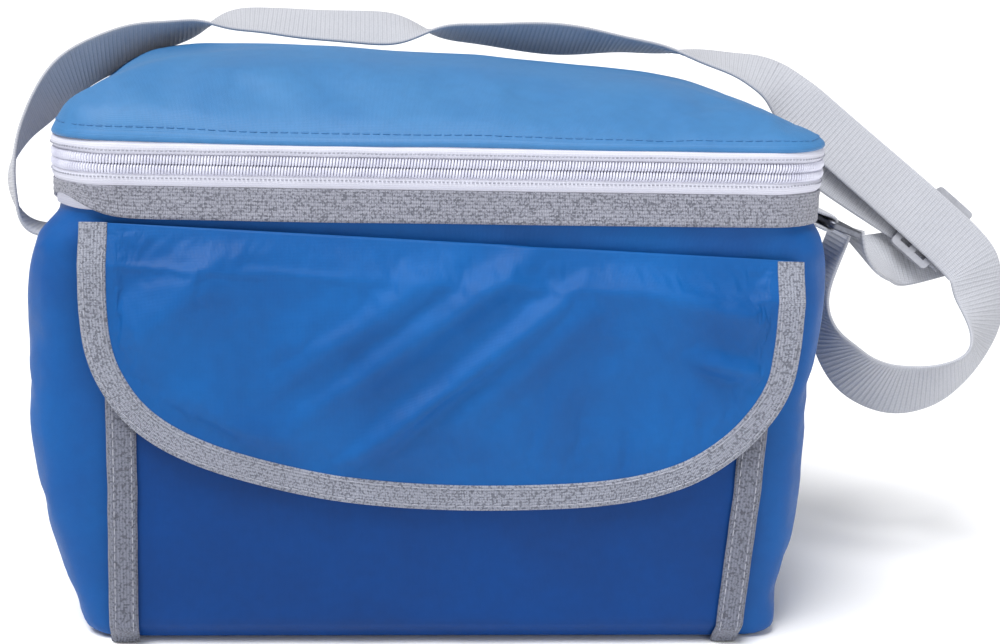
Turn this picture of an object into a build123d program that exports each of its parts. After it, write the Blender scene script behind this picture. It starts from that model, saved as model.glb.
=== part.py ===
"""Insulated cooler bag: soft box with a zipped, hinged lid, a front pocket with a
hook-and-loop flap, and an adjustable webbing shoulder strap.

Frame: the origin is the centre of the flat base, +Z is up, the pocket faces -Y and
the strap's adjusting ring is on the +X side. All sizes are in millimetres.
"""
import os
from math import cos, radians, sin

from build123d import *

# ---------------------------------------------------------------- driving dimensions
body_width = 280.0        # across the zip line, left to right
body_depth = 165.0        # across the zip line, front to back
wall_height = 174.0       # base to the rim of the walls
base_taper = 9.0          # how far each side wall leans in at the base
corner_radius = 24.0      # outer radius of the upright corners

fabric_thickness = 1.0    # coated polyester
foam_thickness = 6.0      # closed-cell foam in the walls and the base
liner_thickness = 0.8     # welded liner film
board_thickness = 1.5     # stiffening board under the base foam

band_height = 12.0        # grey woven band that covers the zip seam
band_thickness = 1.2
tape_thickness = 0.8      # zip tape
tape_overlap = 8.0        # how deep the zip tape runs behind the band
tape_show = 4.3           # zip tape between a seam and the coil
coil_height = 3.1         # one half of the coil
coil_thickness = 2.4
coil_gap = 1.0            # between the two halves, for the slider's web

lid_edge_drop = 2.0       # lid cover's turned edge, below the lid's foam
lid_cover_thickness = 1.2
lid_crown = ((0.0, 0.0), (0.0, 3.0), (8.0, 10.0), (24.0, 17.0), (46.0, 22.0), (64.0, 24.0))

pocket_half_width = 121.0
pocket_top = 139.0        # upper edge of the pocket panel
pocket_foot = 3.0         # lower edge of the pocket panel
pocket_gap = 5.2          # room between the front wall and the pocket panel
binding_width = 10.0      # folded binding tape
binding_thickness = 2.4
hem_height = 12.0
patch_width = 70.0        # hook-and-loop patches
patch_height = 22.0
patch_centre = 84.0
patch_thickness = 1.2
patch_gap = 0.3

flap_tilt = 2.5           # degrees that the flap's seam runs down to the right
flap_seam_z = 155.6       # height of the flap's seam at the middle
flap_left = -129.5
flap_right = 131.0
flap_bottom = 56.5
flap_thickness = 1.2
flap_root_drop = 7.0      # length of the flap's slanted top

slider_length = 12.0
slider_width = 8.6
slider_plate = 1.2
slider_web = 0.7
slider_clearance = 0.3
pull_length = 26.0
pull_width = 6.0
pull_thickness = 1.6
stop_length = 4.0

strap_width = 25.0
strap_thickness = 1.6
ring_wire = 3.0
ring_inner_length = 9.0
ring_side_clearance = 1.0
ring_drop_angle = 20.0    # degrees below level that tab and ring point
tab_length = 24.0
glide_frame = 3.0
glide_thickness = 2.4
strap_clearance = 0.35
strap_laid_width = 280.0  # the strap's stations are places on a bag this wide
strap_laid_height = 174.0 # and with walls this tall

# ---------------------------------------------------------------- worked-out values
half_width = body_width / 2
half_depth = body_depth / 2
foam_inset = fabric_thickness
liner_inset = fabric_thickness + foam_thickness
room_inset = liner_inset + liner_thickness
board_top = fabric_thickness + board_thickness
base_foam_top = board_top + foam_thickness
liner_floor_top = base_foam_top + liner_thickness
band_bottom = wall_height - band_height
band_outset = tape_thickness + band_thickness
lower_coil_bottom = wall_height + tape_show
lower_coil_top = lower_coil_bottom + coil_height
upper_coil_bottom = lower_coil_top + coil_gap
upper_coil_top = upper_coil_bottom + coil_height
lid_edge = upper_coil_top + tape_show
lid_foam_base = lid_edge + lid_edge_drop
flat_half_width = half_width - corner_radius
flat_half_depth = half_depth - corner_radius
pocket_face = pocket_gap + fabric_thickness
flap_gap = pocket_face + 2 * patch_thickness + patch_gap
ring_outer_width = strap_width + 2 * ring_side_clearance + 2 * ring_wire
far = 400.0               # larger than the whole bag, for cutting blocks

os.makedirs("parts", exist_ok=True)


def save(piece, name):
    """Label one finished piece and write it to its own file."""
    piece.part.label = name
    export_step(piece.part, f"parts/{name}.step")


# ---------------------------------------------------------------- shared shapes
def outline(width, inset, z):
    """A rounded rectangle of the bag's plan, drawn in by inset, at height z."""
    with BuildSketch(Plane.XY.offset(z)) as plan:
        RectangleRounded(
            width - 2 * inset, body_depth - 2 * inset, corner_radius - inset
        )
    return plan.sketch


def plan_block(inset, low, high, mode=Mode.ADD):
    """An upright block with the plan at the zip line."""
    extrude(outline(body_width, inset, low), amount=high - low, mode=mode)


def body_block(inset, low, high, mode=Mode.ADD):
    """The bag's body: side walls lean in towards the base, and are upright at the band."""
    lean_width = 2 * base_taper / band_bottom
    lean_top = min(high, band_bottom)
    sections = [
        outline(body_width - lean_width * (band_bottom - z), inset, z)
        for z in (low, lean_top)
    ]
    loft(sections, ruled=True, mode=mode)
    if high > band_bottom:
        plan_block(inset, band_bottom, high, mode)


def keep_wall(side):
    """Keep only the front, back, left or right wall of a ring, mitred at the corners."""
    sign = -1 if side in ("front", "left") else 1
    reach = 60.0
    with BuildSketch() as wedge:
        with BuildLine():
            if side in ("front", "back"):
                Polyline(
                    (-half_width - reach, sign * (half_depth + reach)),
                    (half_width + reach, sign * (half_depth + reach)),
                    (half_width - reach, sign * (half_depth - reach)),
                    (-half_width + reach, sign * (half_depth - reach)),
                    close=True,
                )
            else:
                Polyline(
                    (sign * (half_width + reach), -half_depth - reach),
                    (sign * (half_width + reach), half_depth + reach),
                    (sign * (half_width - reach), half_depth - reach),
                    (sign * (half_width - half_depth), 0),
                    (sign * (half_width - reach), -half_depth + reach),
                    close=True,
                )
        make_face()
    extrude(wedge.sketch, amount=far, mode=Mode.INTERSECT)


def cut_behind(y):
    """Cut away everything behind a plane across the bag."""
    with BuildSketch(Plane.XZ.offset(-y)) as cut:
        Rectangle(2 * far, 2 * far)
    extrude(cut.sketch, amount=-far, mode=Mode.SUBTRACT)


def crown_block(grow, low, lift, mode=Mode.ADD):
    """The lid's crowned pad: its plan grown by grow and its crown raised by lift."""
    levels = [(0.0, low)]
    levels += [(inset, lid_foam_base + rise + lift) for inset, rise in lid_crown[1:]]
    sections = []
    for inset, z in levels:
        with BuildSketch(Plane.XY.offset(z)) as level:
            RectangleRounded(
                body_width + 2 * grow - 2 * inset,
                body_depth + 2 * grow - 2 * inset,
                max(corner_radius + grow - inset / 2, 8.0),
            )
        sections.append(level.sketch)
    loft(sections, ruled=True, mode=mode)


# ---------------------------------------------------------------- body walls
for side in ("front", "back", "left", "right"):
    with BuildPart() as wall_fabric:
        body_block(0, fabric_thickness, wall_height)
        body_block(fabric_thickness, fabric_thickness, wall_height, Mode.SUBTRACT)
        keep_wall(side)
    save(wall_fabric, f"{side}_panel")

    with BuildPart() as wall_foam:
        body_block(foam_inset, board_top, wall_height)
        body_block(liner_inset, board_top, wall_height, Mode.SUBTRACT)
        keep_wall(side)
    save(wall_foam, f"{side}_foam")

with BuildPart() as base_panel:
    body_block(0, 0, fabric_thickness)
save(base_panel, "base_panel")

with BuildPart() as base_board:
    body_block(foam_inset, fabric_thickness, board_top)
save(base_board, "base_board")

with BuildPart() as base_foam:
    body_block(liner_inset, board_top, base_foam_top)
save(base_foam, "base_foam")

with BuildPart() as inner_liner:
    body_block(liner_inset, base_foam_top, wall_height)
    plan_block(foam_inset, wall_height, wall_height + liner_thickness)
    body_block(room_inset, liner_floor_top, wall_height, Mode.SUBTRACT)
    plan_block(room_inset, wall_height, wall_height + liner_thickness, Mode.SUBTRACT)
save(inner_liner, "inner_liner")

# ---------------------------------------------------------------- band and zip
with BuildPart() as grey_band:
    plan_block(-band_outset, band_bottom, wall_height)
    plan_block(-tape_thickness, band_bottom, wall_height, Mode.SUBTRACT)
save(grey_band, "grey_band")


def zip_ring(outset, thickness, low, high):
    """A strip that runs round the front and both sides, and stops at the rear corners."""
    plan_block(-outset - thickness, low, high)
    plan_block(-outset, low, high, Mode.SUBTRACT)
    cut_behind(flat_half_depth)


with BuildPart() as body_zip_tape:
    zip_ring(0, tape_thickness, wall_height - tape_overlap, lower_coil_bottom)
save(body_zip_tape, "body_zip_tape")

with BuildPart() as body_zip_coil:
    zip_ring(0, coil_thickness, lower_coil_bottom, lower_coil_top)
save(body_zip_coil, "body_zip_coil")

with BuildPart() as lid_zip_coil:
    zip_ring(0, coil_thickness, upper_coil_bottom, upper_coil_top)
save(lid_zip_coil, "lid_zip_coil")

with BuildPart() as lid_zip_tape:
    zip_ring(0, tape_thickness, upper_coil_top, lid_foam_base)
save(lid_zip_tape, "lid_zip_tape")

with BuildPart() as zip_end_stops:
    for sign in (-1, 1):
        with BuildSketch(Plane.XY.offset(lower_coil_bottom)):
            with Locations(
                (
                    sign * (half_width + coil_thickness / 2),
                    flat_half_depth + stop_length / 2,
                )
            ):
                Rectangle(coil_thickness, stop_length)
        extrude(amount=coil_height)
save(zip_end_stops, "zip_end_stops")

with BuildPart() as rear_hinge_strip:
    with BuildSketch(Plane.XZ.offset(-half_depth)):
        with Locations((0, (wall_height - tape_overlap + lid_foam_base) / 2)):
            Rectangle(
                2 * flat_half_width, lid_foam_base - wall_height + tape_overlap
            )
    extrude(amount=-tape_thickness)
save(rear_hinge_strip, "rear_hinge_strip")

# ---------------------------------------------------------------- lid
with BuildPart() as lid_cover:
    crown_block(band_outset, lid_edge, lid_cover_thickness)
    crown_block(tape_thickness, lid_edge, 0, Mode.SUBTRACT)
save(lid_cover, "lid_cover")

with BuildPart() as lid_foam:
    crown_block(tape_thickness, lid_foam_base, 0)
save(lid_foam, "lid_foam")

with BuildPart() as lid_liner:
    plan_block(0, lid_foam_base - liner_thickness, lid_foam_base)
save(lid_liner, "lid_liner")

# ---------------------------------------------------------------- front pocket
front_face = Plane(origin=(0, -half_depth, 0), x_dir=(1, 0, 0), z_dir=(0, -1, 0))


def front_slab(left, right, low, high, start, thickness, mode=Mode.ADD):
    """A flat slab in front of the front wall, start away from it."""
    with BuildSketch(front_face.offset(start)) as face:
        with Locations(((left + right) / 2, (low + high) / 2)):
            Rectangle(right - left, high - low)
    extrude(face.sketch, amount=thickness, mode=mode)


panel_half_width = pocket_half_width - binding_width
patch_low = patch_centre - patch_height / 2
patch_high = patch_centre + patch_height / 2

with BuildPart() as pocket_panel:
    front_slab(
        -panel_half_width, panel_half_width, pocket_foot, pocket_top,
        pocket_gap, fabric_thickness,
    )
    front_slab(
        -panel_half_width, panel_half_width, pocket_foot,
        pocket_foot + fabric_thickness, 0, pocket_gap,
    )
save(pocket_panel, "pocket_panel")

with BuildPart() as pocket_hem:
    front_slab(
        -panel_half_width, panel_half_width, pocket_top - hem_height, pocket_top,
        pocket_face, fabric_thickness,
    )
save(pocket_hem, "pocket_hem")

for side, sign in (("left", -1), ("right", 1)):
    edges = sorted((sign * panel_half_width, sign * pocket_half_width))
    with BuildPart() as pocket_binding:
        front_slab(*edges, 0, pocket_top, 0, pocket_face + fabric_thickness)
    save(pocket_binding, f"pocket_{side}_binding")

with BuildPart() as hook_patch:
    front_slab(
        -patch_width / 2, patch_width / 2, patch_low, patch_high,
        pocket_face, patch_thickness,
    )
save(hook_patch, "hook_patch")

with BuildPart() as loop_patch:
    front_slab(
        -patch_width / 2, patch_width / 2, patch_low, patch_high,
        pocket_face + patch_thickness + patch_gap, patch_thickness,
    )
save(loop_patch, "loop_patch")

# ---------------------------------------------------------------- pocket flap
# The flap is drawn in its own plane, turned with its seam. x runs along the seam.
seam_turn = radians(flap_tilt)
flap_plane = Plane(
    origin=(0, -half_depth, flap_seam_z),
    x_dir=(cos(seam_turn), 0, -sin(seam_turn)),
    z_dir=(0, -1, 0),
)
flap_hinge_out = band_outset + 0.7     # the seam bends just outside the band


def in_flap(x, z):
    """A point of the front view in the flap plane's own x and y."""
    rise = z - flap_seam_z
    return (
        x * cos(seam_turn) - rise * sin(seam_turn),
        x * sin(seam_turn) + rise * cos(seam_turn),
    )


# Corners of the flap's lower edge, each with the radius that rounds it.
flap_corners = (
    (flap_left, 93.0, 40.0),
    (-85.0, 70.0, 95.0),
    (-20.0, flap_bottom, 140.0),
    (70.0, flap_bottom, 95.0),
    (112.0, 70.0, 42.0),
    (flap_right, 100.0, 42.0),
)


def flap_outline(inset):
    """The flap's face, with its sides and its lower edge drawn in by inset."""
    points = [Vector(*in_flap(x, z)) for x, z, _ in flap_corners]
    first = Vector(*in_flap(flap_left, flap_seam_z))
    last = Vector(*in_flap(flap_right, flap_seam_z))
    points = [first] + points + [last]
    ways = [(b - a).normalized() for a, b in zip(points, points[1:])]
    inward = [Vector(-way.Y, way.X) for way in ways]
    moved = [points[0] + inward[0] * inset]
    for point, one, two in zip(points[1:-1], inward, inward[1:]):
        moved.append(point + (one + two) * (inset / (1 + one.dot(two))))
    moved.append(points[-1] + inward[-1] * inset)
    moved[0] += ways[0] * (moved[0].Y / -ways[0].Y)
    moved[-1] -= ways[-1] * (moved[-1].Y / ways[-1].Y)
    radii = [radius - inset for _, _, radius in flap_corners]
    with BuildSketch(flap_plane) as face:
        with BuildLine():
            FilletPolyline(*moved, radius=radii)
            Line(moved[-1], moved[0])
        make_face()
    return face.sketch


def flap_shape(thickness):
    """Keep the flap's thickness: slanted out from the seam, then hanging flat."""
    middle = flap_gap + flap_thickness / 2
    inner = middle - thickness / 2
    outer = middle + thickness / 2
    root = flap_hinge_out
    side_plane = Plane(
        flap_plane.origin, x_dir=flap_plane.y_dir, z_dir=flap_plane.x_dir
    )
    with BuildSketch(side_plane.offset(-far / 2)) as profile:
        with BuildLine():
            Polyline(
                (-0.5, root - thickness / 2),
                (-flap_root_drop, inner),
                (-far, inner),
                (-far, outer),
                (-flap_root_drop, outer),
                (-0.5, root + thickness / 2),
                close=True,
            )
        make_face()
    extrude(profile.sketch, amount=far, mode=Mode.INTERSECT)


with BuildPart() as flap_panel:
    extrude(flap_outline(binding_width), amount=2 * flap_gap)
    flap_shape(flap_thickness)
save(flap_panel, "flap_panel")

with BuildPart() as flap_binding:
    extrude(flap_outline(0), amount=2 * flap_gap)
    extrude(flap_outline(binding_width), amount=2 * flap_gap, mode=Mode.SUBTRACT)
    flap_shape(binding_thickness)
save(flap_binding, "flap_binding")

with BuildPart() as flap_seam_strip:
    with BuildSketch(flap_plane):
        with Locations((0, -2.2)):
            Rectangle(2 * panel_half_width, 3.6)
    extrude(amount=flap_hinge_out - binding_thickness / 2 - 0.2)
save(flap_seam_strip, "flap_seam_strip")

# ---------------------------------------------------------------- zip slider
slider_y = flat_half_depth - slider_length / 2 - 2.0
coil_face = half_width + coil_thickness


def side_slab(start, thickness, low, high, near, length, mode=Mode.ADD):
    """A flat slab parallel to the right side wall, start away from the middle."""
    with BuildSketch(Plane.YZ.offset(start)) as face:
        with Locations((near, (low + high) / 2)):
            Rectangle(length, high - low)
    extrude(face.sketch, amount=thickness, mode=mode)


slider_low = (lower_coil_bottom + upper_coil_top - slider_width) / 2
slider_high = slider_low + slider_width
web_low = lower_coil_top + (coil_gap - slider_web) / 2
bail_x = coil_face + slider_clearance + slider_plate
bail_reach = 3.4
lug_inset = 0.8
lug_thickness = 1.4
pull_pin_x = bail_x + bail_reach / 2 + 0.2
pull_pin_y = slider_y - 2.5
pin_radius = 0.7
eye_radius = pin_radius + 0.35

with BuildPart() as zip_slider:
    side_slab(
        coil_face + slider_clearance, slider_plate, slider_low, slider_high,
        slider_y, slider_length,
    )
    side_slab(
        half_width - slider_clearance - slider_plate, slider_plate, slider_low,
        slider_high, slider_y, slider_length,
    )
    side_slab(
        half_width - slider_clearance - slider_plate,
        coil_thickness + 2 * slider_clearance + 2 * slider_plate,
        web_low, web_low + slider_web, slider_y, slider_length / 3,
    )
    for z in (slider_low + lug_inset, slider_high - lug_inset - lug_thickness):
        side_slab(bail_x, bail_reach, z, z + lug_thickness, pull_pin_y, 4.0)
    with BuildSketch(Plane.XY.offset(slider_low)):
        with Locations((pull_pin_x, pull_pin_y)):
            Circle(pin_radius)
    extrude(amount=slider_width, mode=Mode.SUBTRACT)
save(zip_slider, "zip_slider")

with BuildPart() as bail_pin:
    with BuildSketch(Plane.XY.offset(slider_low + lug_inset)):
        with Locations((pull_pin_x, pull_pin_y)):
            Circle(pin_radius)
    extrude(amount=slider_width - 2 * lug_inset)
save(bail_pin, "bail_pin")

with BuildPart() as pull_tab:
    middle = (slider_low + slider_high) / 2
    with BuildSketch(Plane.XY.offset(middle - 1.8)):
        with Locations((pull_pin_x, pull_pin_y)):
            Circle(eye_radius + 0.8)
            Circle(eye_radius, mode=Mode.SUBTRACT)
    extrude(amount=3.6)
    eye_edge = pull_pin_y - eye_radius - 0.4
    with BuildSketch(Plane.YZ.offset(pull_pin_x - pull_thickness / 2)):
        with Locations((eye_edge - pull_length / 2, middle)):
            RectangleRounded(pull_length, pull_width, 1.6)
        with Locations((eye_edge - 1.6, middle)):
            Rectangle(8.0, pull_width, mode=Mode.SUBTRACT)
        with Locations((eye_edge - 3.0, middle)):
            Rectangle(6.0, 3.6)
    extrude(amount=pull_thickness)
save(pull_tab, "pull_tab")

# ---------------------------------------------------------------- ring and its tab
ring_turn = radians(ring_drop_angle)
tab_start = Vector(half_width + tape_thickness + strap_thickness, 0, band_bottom - 2.4)
tab_way = Vector(cos(ring_turn), 0, -sin(ring_turn))
ring_pivot = tab_start + tab_way * tab_length
ring_plane = Plane(origin=ring_pivot, x_dir=(0, 1, 0), z_dir=tab_way.cross(Vector(0, 1, 0)))
eye_thickness = strap_thickness
eye_inner = ring_wire / 2 + 0.5

with BuildPart() as ring_tab:
    with BuildSketch(Plane(origin=(0, -strap_width / 2, 0), x_dir=(1, 0, 0), z_dir=(0, -1, 0))):
        with BuildLine():
            Polyline(
                (half_width + 0.1, band_bottom - 0.1),
                (tab_start.X + 0.6, band_bottom - 0.1),
                (ring_pivot.X + 0.6, ring_pivot.Z + 2.0),
                (ring_pivot.X - 0.6, ring_pivot.Z - 2.0),
                (half_width + 0.1, band_bottom - 5.6),
                close=True,
            )
        make_face()
        with Locations((ring_pivot.X, ring_pivot.Z)):
            Circle(eye_inner + eye_thickness)
            Circle(eye_inner, mode=Mode.SUBTRACT)
    extrude(amount=-strap_width)
save(ring_tab, "ring_tab")

with BuildPart() as ring:
    length = ring_inner_length + 2 * ring_wire
    with BuildSketch(ring_plane.offset(-ring_wire / 2)):
        with Locations((0, -(length - ring_wire) / 2)):
            RectangleRounded(ring_outer_width, length, ring_wire)
            Rectangle(ring_outer_width - 2 * ring_wire, ring_inner_length, mode=Mode.SUBTRACT)
    extrude(amount=ring_wire)
    fillet(ring.edges().filter_by(GeomType.LINE).group_by(SortBy.LENGTH)[-1], 1.0)
save(ring, "ring")

# ---------------------------------------------------------------- shoulder strap
def carried(x, y, z):
    """Move a laid-out place out with the side walls and up with the rim."""
    side = max(-1.0, min(1.0, 2 * x / strap_laid_width))
    widen = (body_width - strap_laid_width) / 2
    return (x + side * widen, y, z + wall_height - strap_laid_height)


# Each station is the strap's centre and the way its width points. The strap leaves
# the left side under the band, lies over the lid, swings out in a loose loop on the
# right, and comes back up to the ring.
straight_from = (169, 32, 189)
straight_to = (229, 10, 138)
laid_stations = (
    ((-141.7, 0, 161.8), (0, 1, 0)),
    ((-142.0, 0, 153), (0, 1, 0)),
    ((-146, 0, 146), (0, 1, 0)),
    ((-153, 0, 142.5), (0, 1, 0)),
    ((-161, 0, 145), (0, 1, 0)),
    ((-166, 1, 153), (0, 1, 0)),
    ((-167.5, 3, 166), (0, 1, 0)),
    ((-165.5, 8, 180), (0, 1, 0)),
    ((-159, 16, 194), (0, 1, 0.1)),
    ((-147, 27, 206), (0, 1, 0.2)),
    ((-128, 38, 214), (0, 1, 0.3)),
    ((-103, 45, 220), (0, 1, 0.4)),
    ((-78, 48, 225), (0, 1, 0.5)),
    ((-48, 48, 225), (0, 1, 0.5)),
    ((-15, 48, 225), (0, 1, 0.5)),
    ((25, 48, 225), (0, 1, 0.4)),
    ((60, 48, 223.5), (0, 1, 0.2)),
    ((95, 47, 221), (0.1, 1, 0.1)),
    ((128, 43, 214.5), (0.2, 1, 0.2)),
    ((150, 38, 206), (0.4, 0.7, 0.5)),
    (straight_from, (0.5, 0.3, 0.8)),
    (straight_to, (0.6, 0.2, 0.8)),
    ((238, 6, 122), (0.8, 0.3, 0.5)),
    ((241, 2, 106), (0.8, 0.6, 0.2)),
    ((236, -2, 91), (0.4, 0.6, -0.4)),
    ((222, -4, 81), (0.1, 0.5, -0.9)),
    ((204, -4, 78), (0, 0.3, -1)),
    ((188, -3, 83), (-0.3, 0.5, -0.8)),
    ((177, -1, 94), (-0.4, 0.8, -0.4)),
    ((170, 0, 108), (0, 1, 0)),
    ((167, 0, 122), (0, 1, 0)),
)


def ribbon(stations):
    """A flat strap lofted through its stations, square to its own run at each."""
    centres = [Vector(*centre) for centre, _ in stations]
    sections = []
    for i, (_, width_way) in enumerate(stations):
        before = centres[max(i - 1, 0)]
        after = centres[min(i + 1, len(centres) - 1)]
        run = (after - before).normalized()
        way = Vector(*width_way)
        way = (way - run * way.dot(run)).normalized()
        with BuildSketch(Plane(origin=centres[i], x_dir=way, z_dir=run)) as section:
            Rectangle(strap_width, strap_thickness)
        sections.append(section.sketch)
    for pair in zip(sections, sections[1:]):
        loft(pair, ruled=True)


outer_bar = ring_pivot + tab_way * (ring_inner_length + ring_wire)
bar_lift = ring_wire / 2 + strap_clearance + strap_thickness / 2
strap_end = outer_bar + Vector(-bar_lift, 0, -1.0)
strap_stations = [(carried(*place), way) for place, way in laid_stations]
strap_stations.append((tuple(strap_end), (0, 1, 0)))

with BuildPart() as shoulder_strap:
    ribbon(strap_stations)
save(shoulder_strap, "shoulder_strap")

# The three-bar slider sits behind the strap's straight run.
glide_share = 0.84
run_start = Vector(*carried(*straight_from))
run_length = Vector(*carried(*straight_to)) - run_start
glide_run = run_length.normalized()
glide_way = Vector(0.55, 0.25, 0.8)
glide_way = (glide_way - glide_run * glide_way.dot(glide_run)).normalized()
glide_out = glide_way.cross(glide_run)
if glide_out.Y < 0:
    glide_out = -glide_out
glide_centre = run_start + run_length * glide_share
glide_base = strap_thickness / 2 + 2 * strap_clearance + 0.6
glide_plane = Plane(
    origin=glide_centre + glide_out * glide_base, x_dir=glide_way, z_dir=glide_out
)
glide_slot = 5.0

with BuildPart() as tri_glide:
    with BuildSketch(glide_plane):
        RectangleRounded(
            strap_width + 2 + 2 * glide_frame, 2 * glide_slot + 3 * glide_frame, 2.0
        )
        with GridLocations(0, glide_slot + glide_frame, 1, 2):
            Rectangle(strap_width + 2, glide_slot, mode=Mode.SUBTRACT)
    extrude(amount=glide_thickness)
save(tri_glide, "tri_glide")

return_lift = glide_base + glide_thickness + strap_clearance + strap_thickness / 2


def behind_run(share, out=0.0):
    """A point of the doubled layer, behind the straight run."""
    return tuple(run_start + run_length * share + glide_out * (return_lift + out))


# The doubled end leaves the ring, swings out to the slider, and its tail runs on up
# behind the straight run.
swing_stations = (
    (tuple(outer_bar + Vector(bar_lift + 0.3, 0, 0)), (0, 1, 0)),
    (tuple(outer_bar + Vector(bar_lift + 1.5, 0, -6)), (0, 1, 0)),
    (carried(186, 5, 135.5), (0, 1, 0.3)),
    (carried(196, 14, 132), (-0.1, 0.8, 0.6)),
    (carried(209, 20, 131), (0, 0.4, 0.9)),
    (behind_run(0.97, 3.4), (0, 0.1, 1)),
)
double_stations = (
    (behind_run(1.03), tuple(glide_way)),
    (behind_run(0.05), tuple(glide_way)),
)

with BuildPart() as strap_return:
    ribbon(swing_stations)
    ribbon(double_stations)
save(strap_return, "strap_return")
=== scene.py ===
# %% [markdown]
# # Insulated cooler bag
# A soft lunch-size cooler: a padded box of coated blue cloth, a crowned lid that zips
# round three sides, a flat front pocket under a flap with a bound edge, and a grey
# webbing shoulder strap that is adjusted at a ring on the right.
#
# The fixed frame comes first. It holds the sizes, the joints and every hard part.
# Soft pieces are then built in the same place, in metres, each as its own object.

import math

import bmesh
import bpy
import numpy as np
from mathutils import Matrix, Vector, noise
from mathutils.bvhtree import BVHTree


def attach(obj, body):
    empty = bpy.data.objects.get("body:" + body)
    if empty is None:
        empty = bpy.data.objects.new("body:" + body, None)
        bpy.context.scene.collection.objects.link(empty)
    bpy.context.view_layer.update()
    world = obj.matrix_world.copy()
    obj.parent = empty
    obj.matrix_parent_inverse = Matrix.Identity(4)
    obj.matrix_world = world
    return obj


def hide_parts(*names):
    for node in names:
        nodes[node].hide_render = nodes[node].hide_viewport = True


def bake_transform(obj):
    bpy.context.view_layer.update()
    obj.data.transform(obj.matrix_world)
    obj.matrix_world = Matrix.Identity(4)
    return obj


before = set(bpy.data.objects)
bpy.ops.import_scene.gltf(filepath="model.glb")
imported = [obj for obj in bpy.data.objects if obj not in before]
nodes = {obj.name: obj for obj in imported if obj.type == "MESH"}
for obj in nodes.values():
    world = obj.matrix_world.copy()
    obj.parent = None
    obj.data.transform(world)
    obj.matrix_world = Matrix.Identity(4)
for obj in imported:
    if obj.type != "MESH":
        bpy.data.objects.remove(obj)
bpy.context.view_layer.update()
MM = 0.001

# %% [markdown]
# ## Camera
# The bag is seen from just above its lid, a little left of its middle, with a longish
# lens. A camera could be aimed with a Track To constraint. Here its three directions
# are worked out from pitch, yaw and roll, because the horizon is slightly tipped.

# %% Place the camera
camera_pitch = math.radians(14.17)
camera_yaw = math.radians(3.20)
camera_roll = math.radians(-1.33)
forward = Vector(
    (
        math.sin(camera_yaw) * math.cos(camera_pitch),
        math.cos(camera_yaw) * math.cos(camera_pitch),
        -math.sin(camera_pitch),
    )
)
level = Vector((math.cos(camera_yaw), -math.sin(camera_yaw), 0.0))
drop = forward.cross(level)
right = level * math.cos(camera_roll) + drop * math.sin(camera_roll)
down = drop * math.cos(camera_roll) - level * math.sin(camera_roll)

camera_data = bpy.data.cameras.new("camera")
camera_data.lens = 54.0
camera_data.sensor_width = 36.0
camera_data.shift_x = 0.10
camera_data.shift_y = 0.0065
camera = bpy.data.objects.new("camera", camera_data)
turn = Matrix((right, -down, -forward)).transposed().to_4x4()
camera.matrix_world = Matrix.Translation((-0.0447, -0.6110, 0.2566)) @ turn
bpy.context.collection.objects.link(camera)
bpy.context.scene.camera = camera
print("camera stands", round(camera.location.length, 3), "m from the bag's base")

# %% [markdown]
# ## Floor and light
# Cloth shows its folds best under one large soft light from above and a weak fill in
# front. A pale world does most of the fill, so no shadow turns black.

# %% Set the stage
scene = bpy.context.scene
scene.view_settings.view_transform = "Standard"
world = bpy.data.worlds.new("pale_room")
scene.world = world
world.use_nodes = True
sky = world.node_tree
background = sky.nodes["Background"]
background.inputs["Color"].default_value = (1.0, 1.0, 1.0, 1.0)
seen = sky.nodes.new("ShaderNodeLightPath").outputs["Is Camera Ray"]
strength = sky.nodes.new("ShaderNodeMapRange")
strength.inputs["To Min"].default_value = 0.42
strength.inputs["To Max"].default_value = 1.0
sky.links.new(seen, strength.inputs["Value"])
sky.links.new(strength.outputs["Result"], background.inputs["Strength"])


def soft_light(name, place, aim, size, power):
    """A square area light that faces a point."""
    lamp = bpy.data.lights.new(name, "AREA")
    lamp.size = size
    lamp.energy = power
    holder = bpy.data.objects.new(name, lamp)
    holder.location = place
    facing = Vector(aim) - Vector(place)
    holder.rotation_euler = facing.to_track_quat("-Z", "Y").to_euler()
    bpy.context.collection.objects.link(holder)
    return holder


sun = bpy.data.lights.new("top_light", "SUN")
sun.energy = 3.6
sun.angle = math.radians(32)
sun_holder = bpy.data.objects.new("top_light", sun)
sun_way = Vector((0.32, 0.30, -1.0))
sun_holder.rotation_euler = sun_way.to_track_quat("-Z", "Y").to_euler()
bpy.context.collection.objects.link(sun_holder)
soft_light("front_fill", (0.6, -1.3, 0.5), (0.0, 0.0, 0.1), 1.0, 4.0)

floor_mesh = bpy.data.meshes.new("floor")
reach = 30.0
floor_mesh.from_pydata(
    [(-reach, -reach, 0), (reach, -reach, 0), (reach, reach, 0), (-reach, reach, 0)],
    [],
    [(0, 1, 2, 3)],
)
floor = bpy.data.objects.new("floor", floor_mesh)
floor.location.z = -0.0004
bpy.context.collection.objects.link(floor)

# %% [markdown]
# ## Building blocks for meshes
# Every soft piece here is one of two things. A sheet is a grid of points. A strip is a
# flat cross-section carried along a line. Both get a UV map in metres, so one weave
# fits them all at its true size. Modifiers could do this too, but then the length of
# webbing along a curve would not drive its ribs.

# %% Small helpers
def blend_step(value, low, high):
    """0 below low, 1 above high, and smooth between."""
    t = np.clip((np.asarray(value, float) - low) / (high - low), 0.0, 1.0)
    return t * t * (3.0 - 2.0 * t)


def along(value, table):
    """Read a smooth value from a short table of (position, value) pairs."""
    places, values = zip(*table)
    return np.interp(value, places, values)


def ripple(x, y, z, scale, seed=0.0):
    """Smooth noise at each point, about -1 to 1, with bumps of 1 / scale metres."""
    shape = np.shape(x)
    flat = np.stack([np.ravel(np.broadcast_to(v, shape)) for v in (x, y, z)], 1) * scale
    return np.array([noise.noise((a + seed, b, c)) for a, b, c in flat]).reshape(shape)


def unit(vectors):
    """Each vector scaled to length one."""
    return vectors / np.linalg.norm(vectors, axis=-1, keepdims=True)


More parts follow.
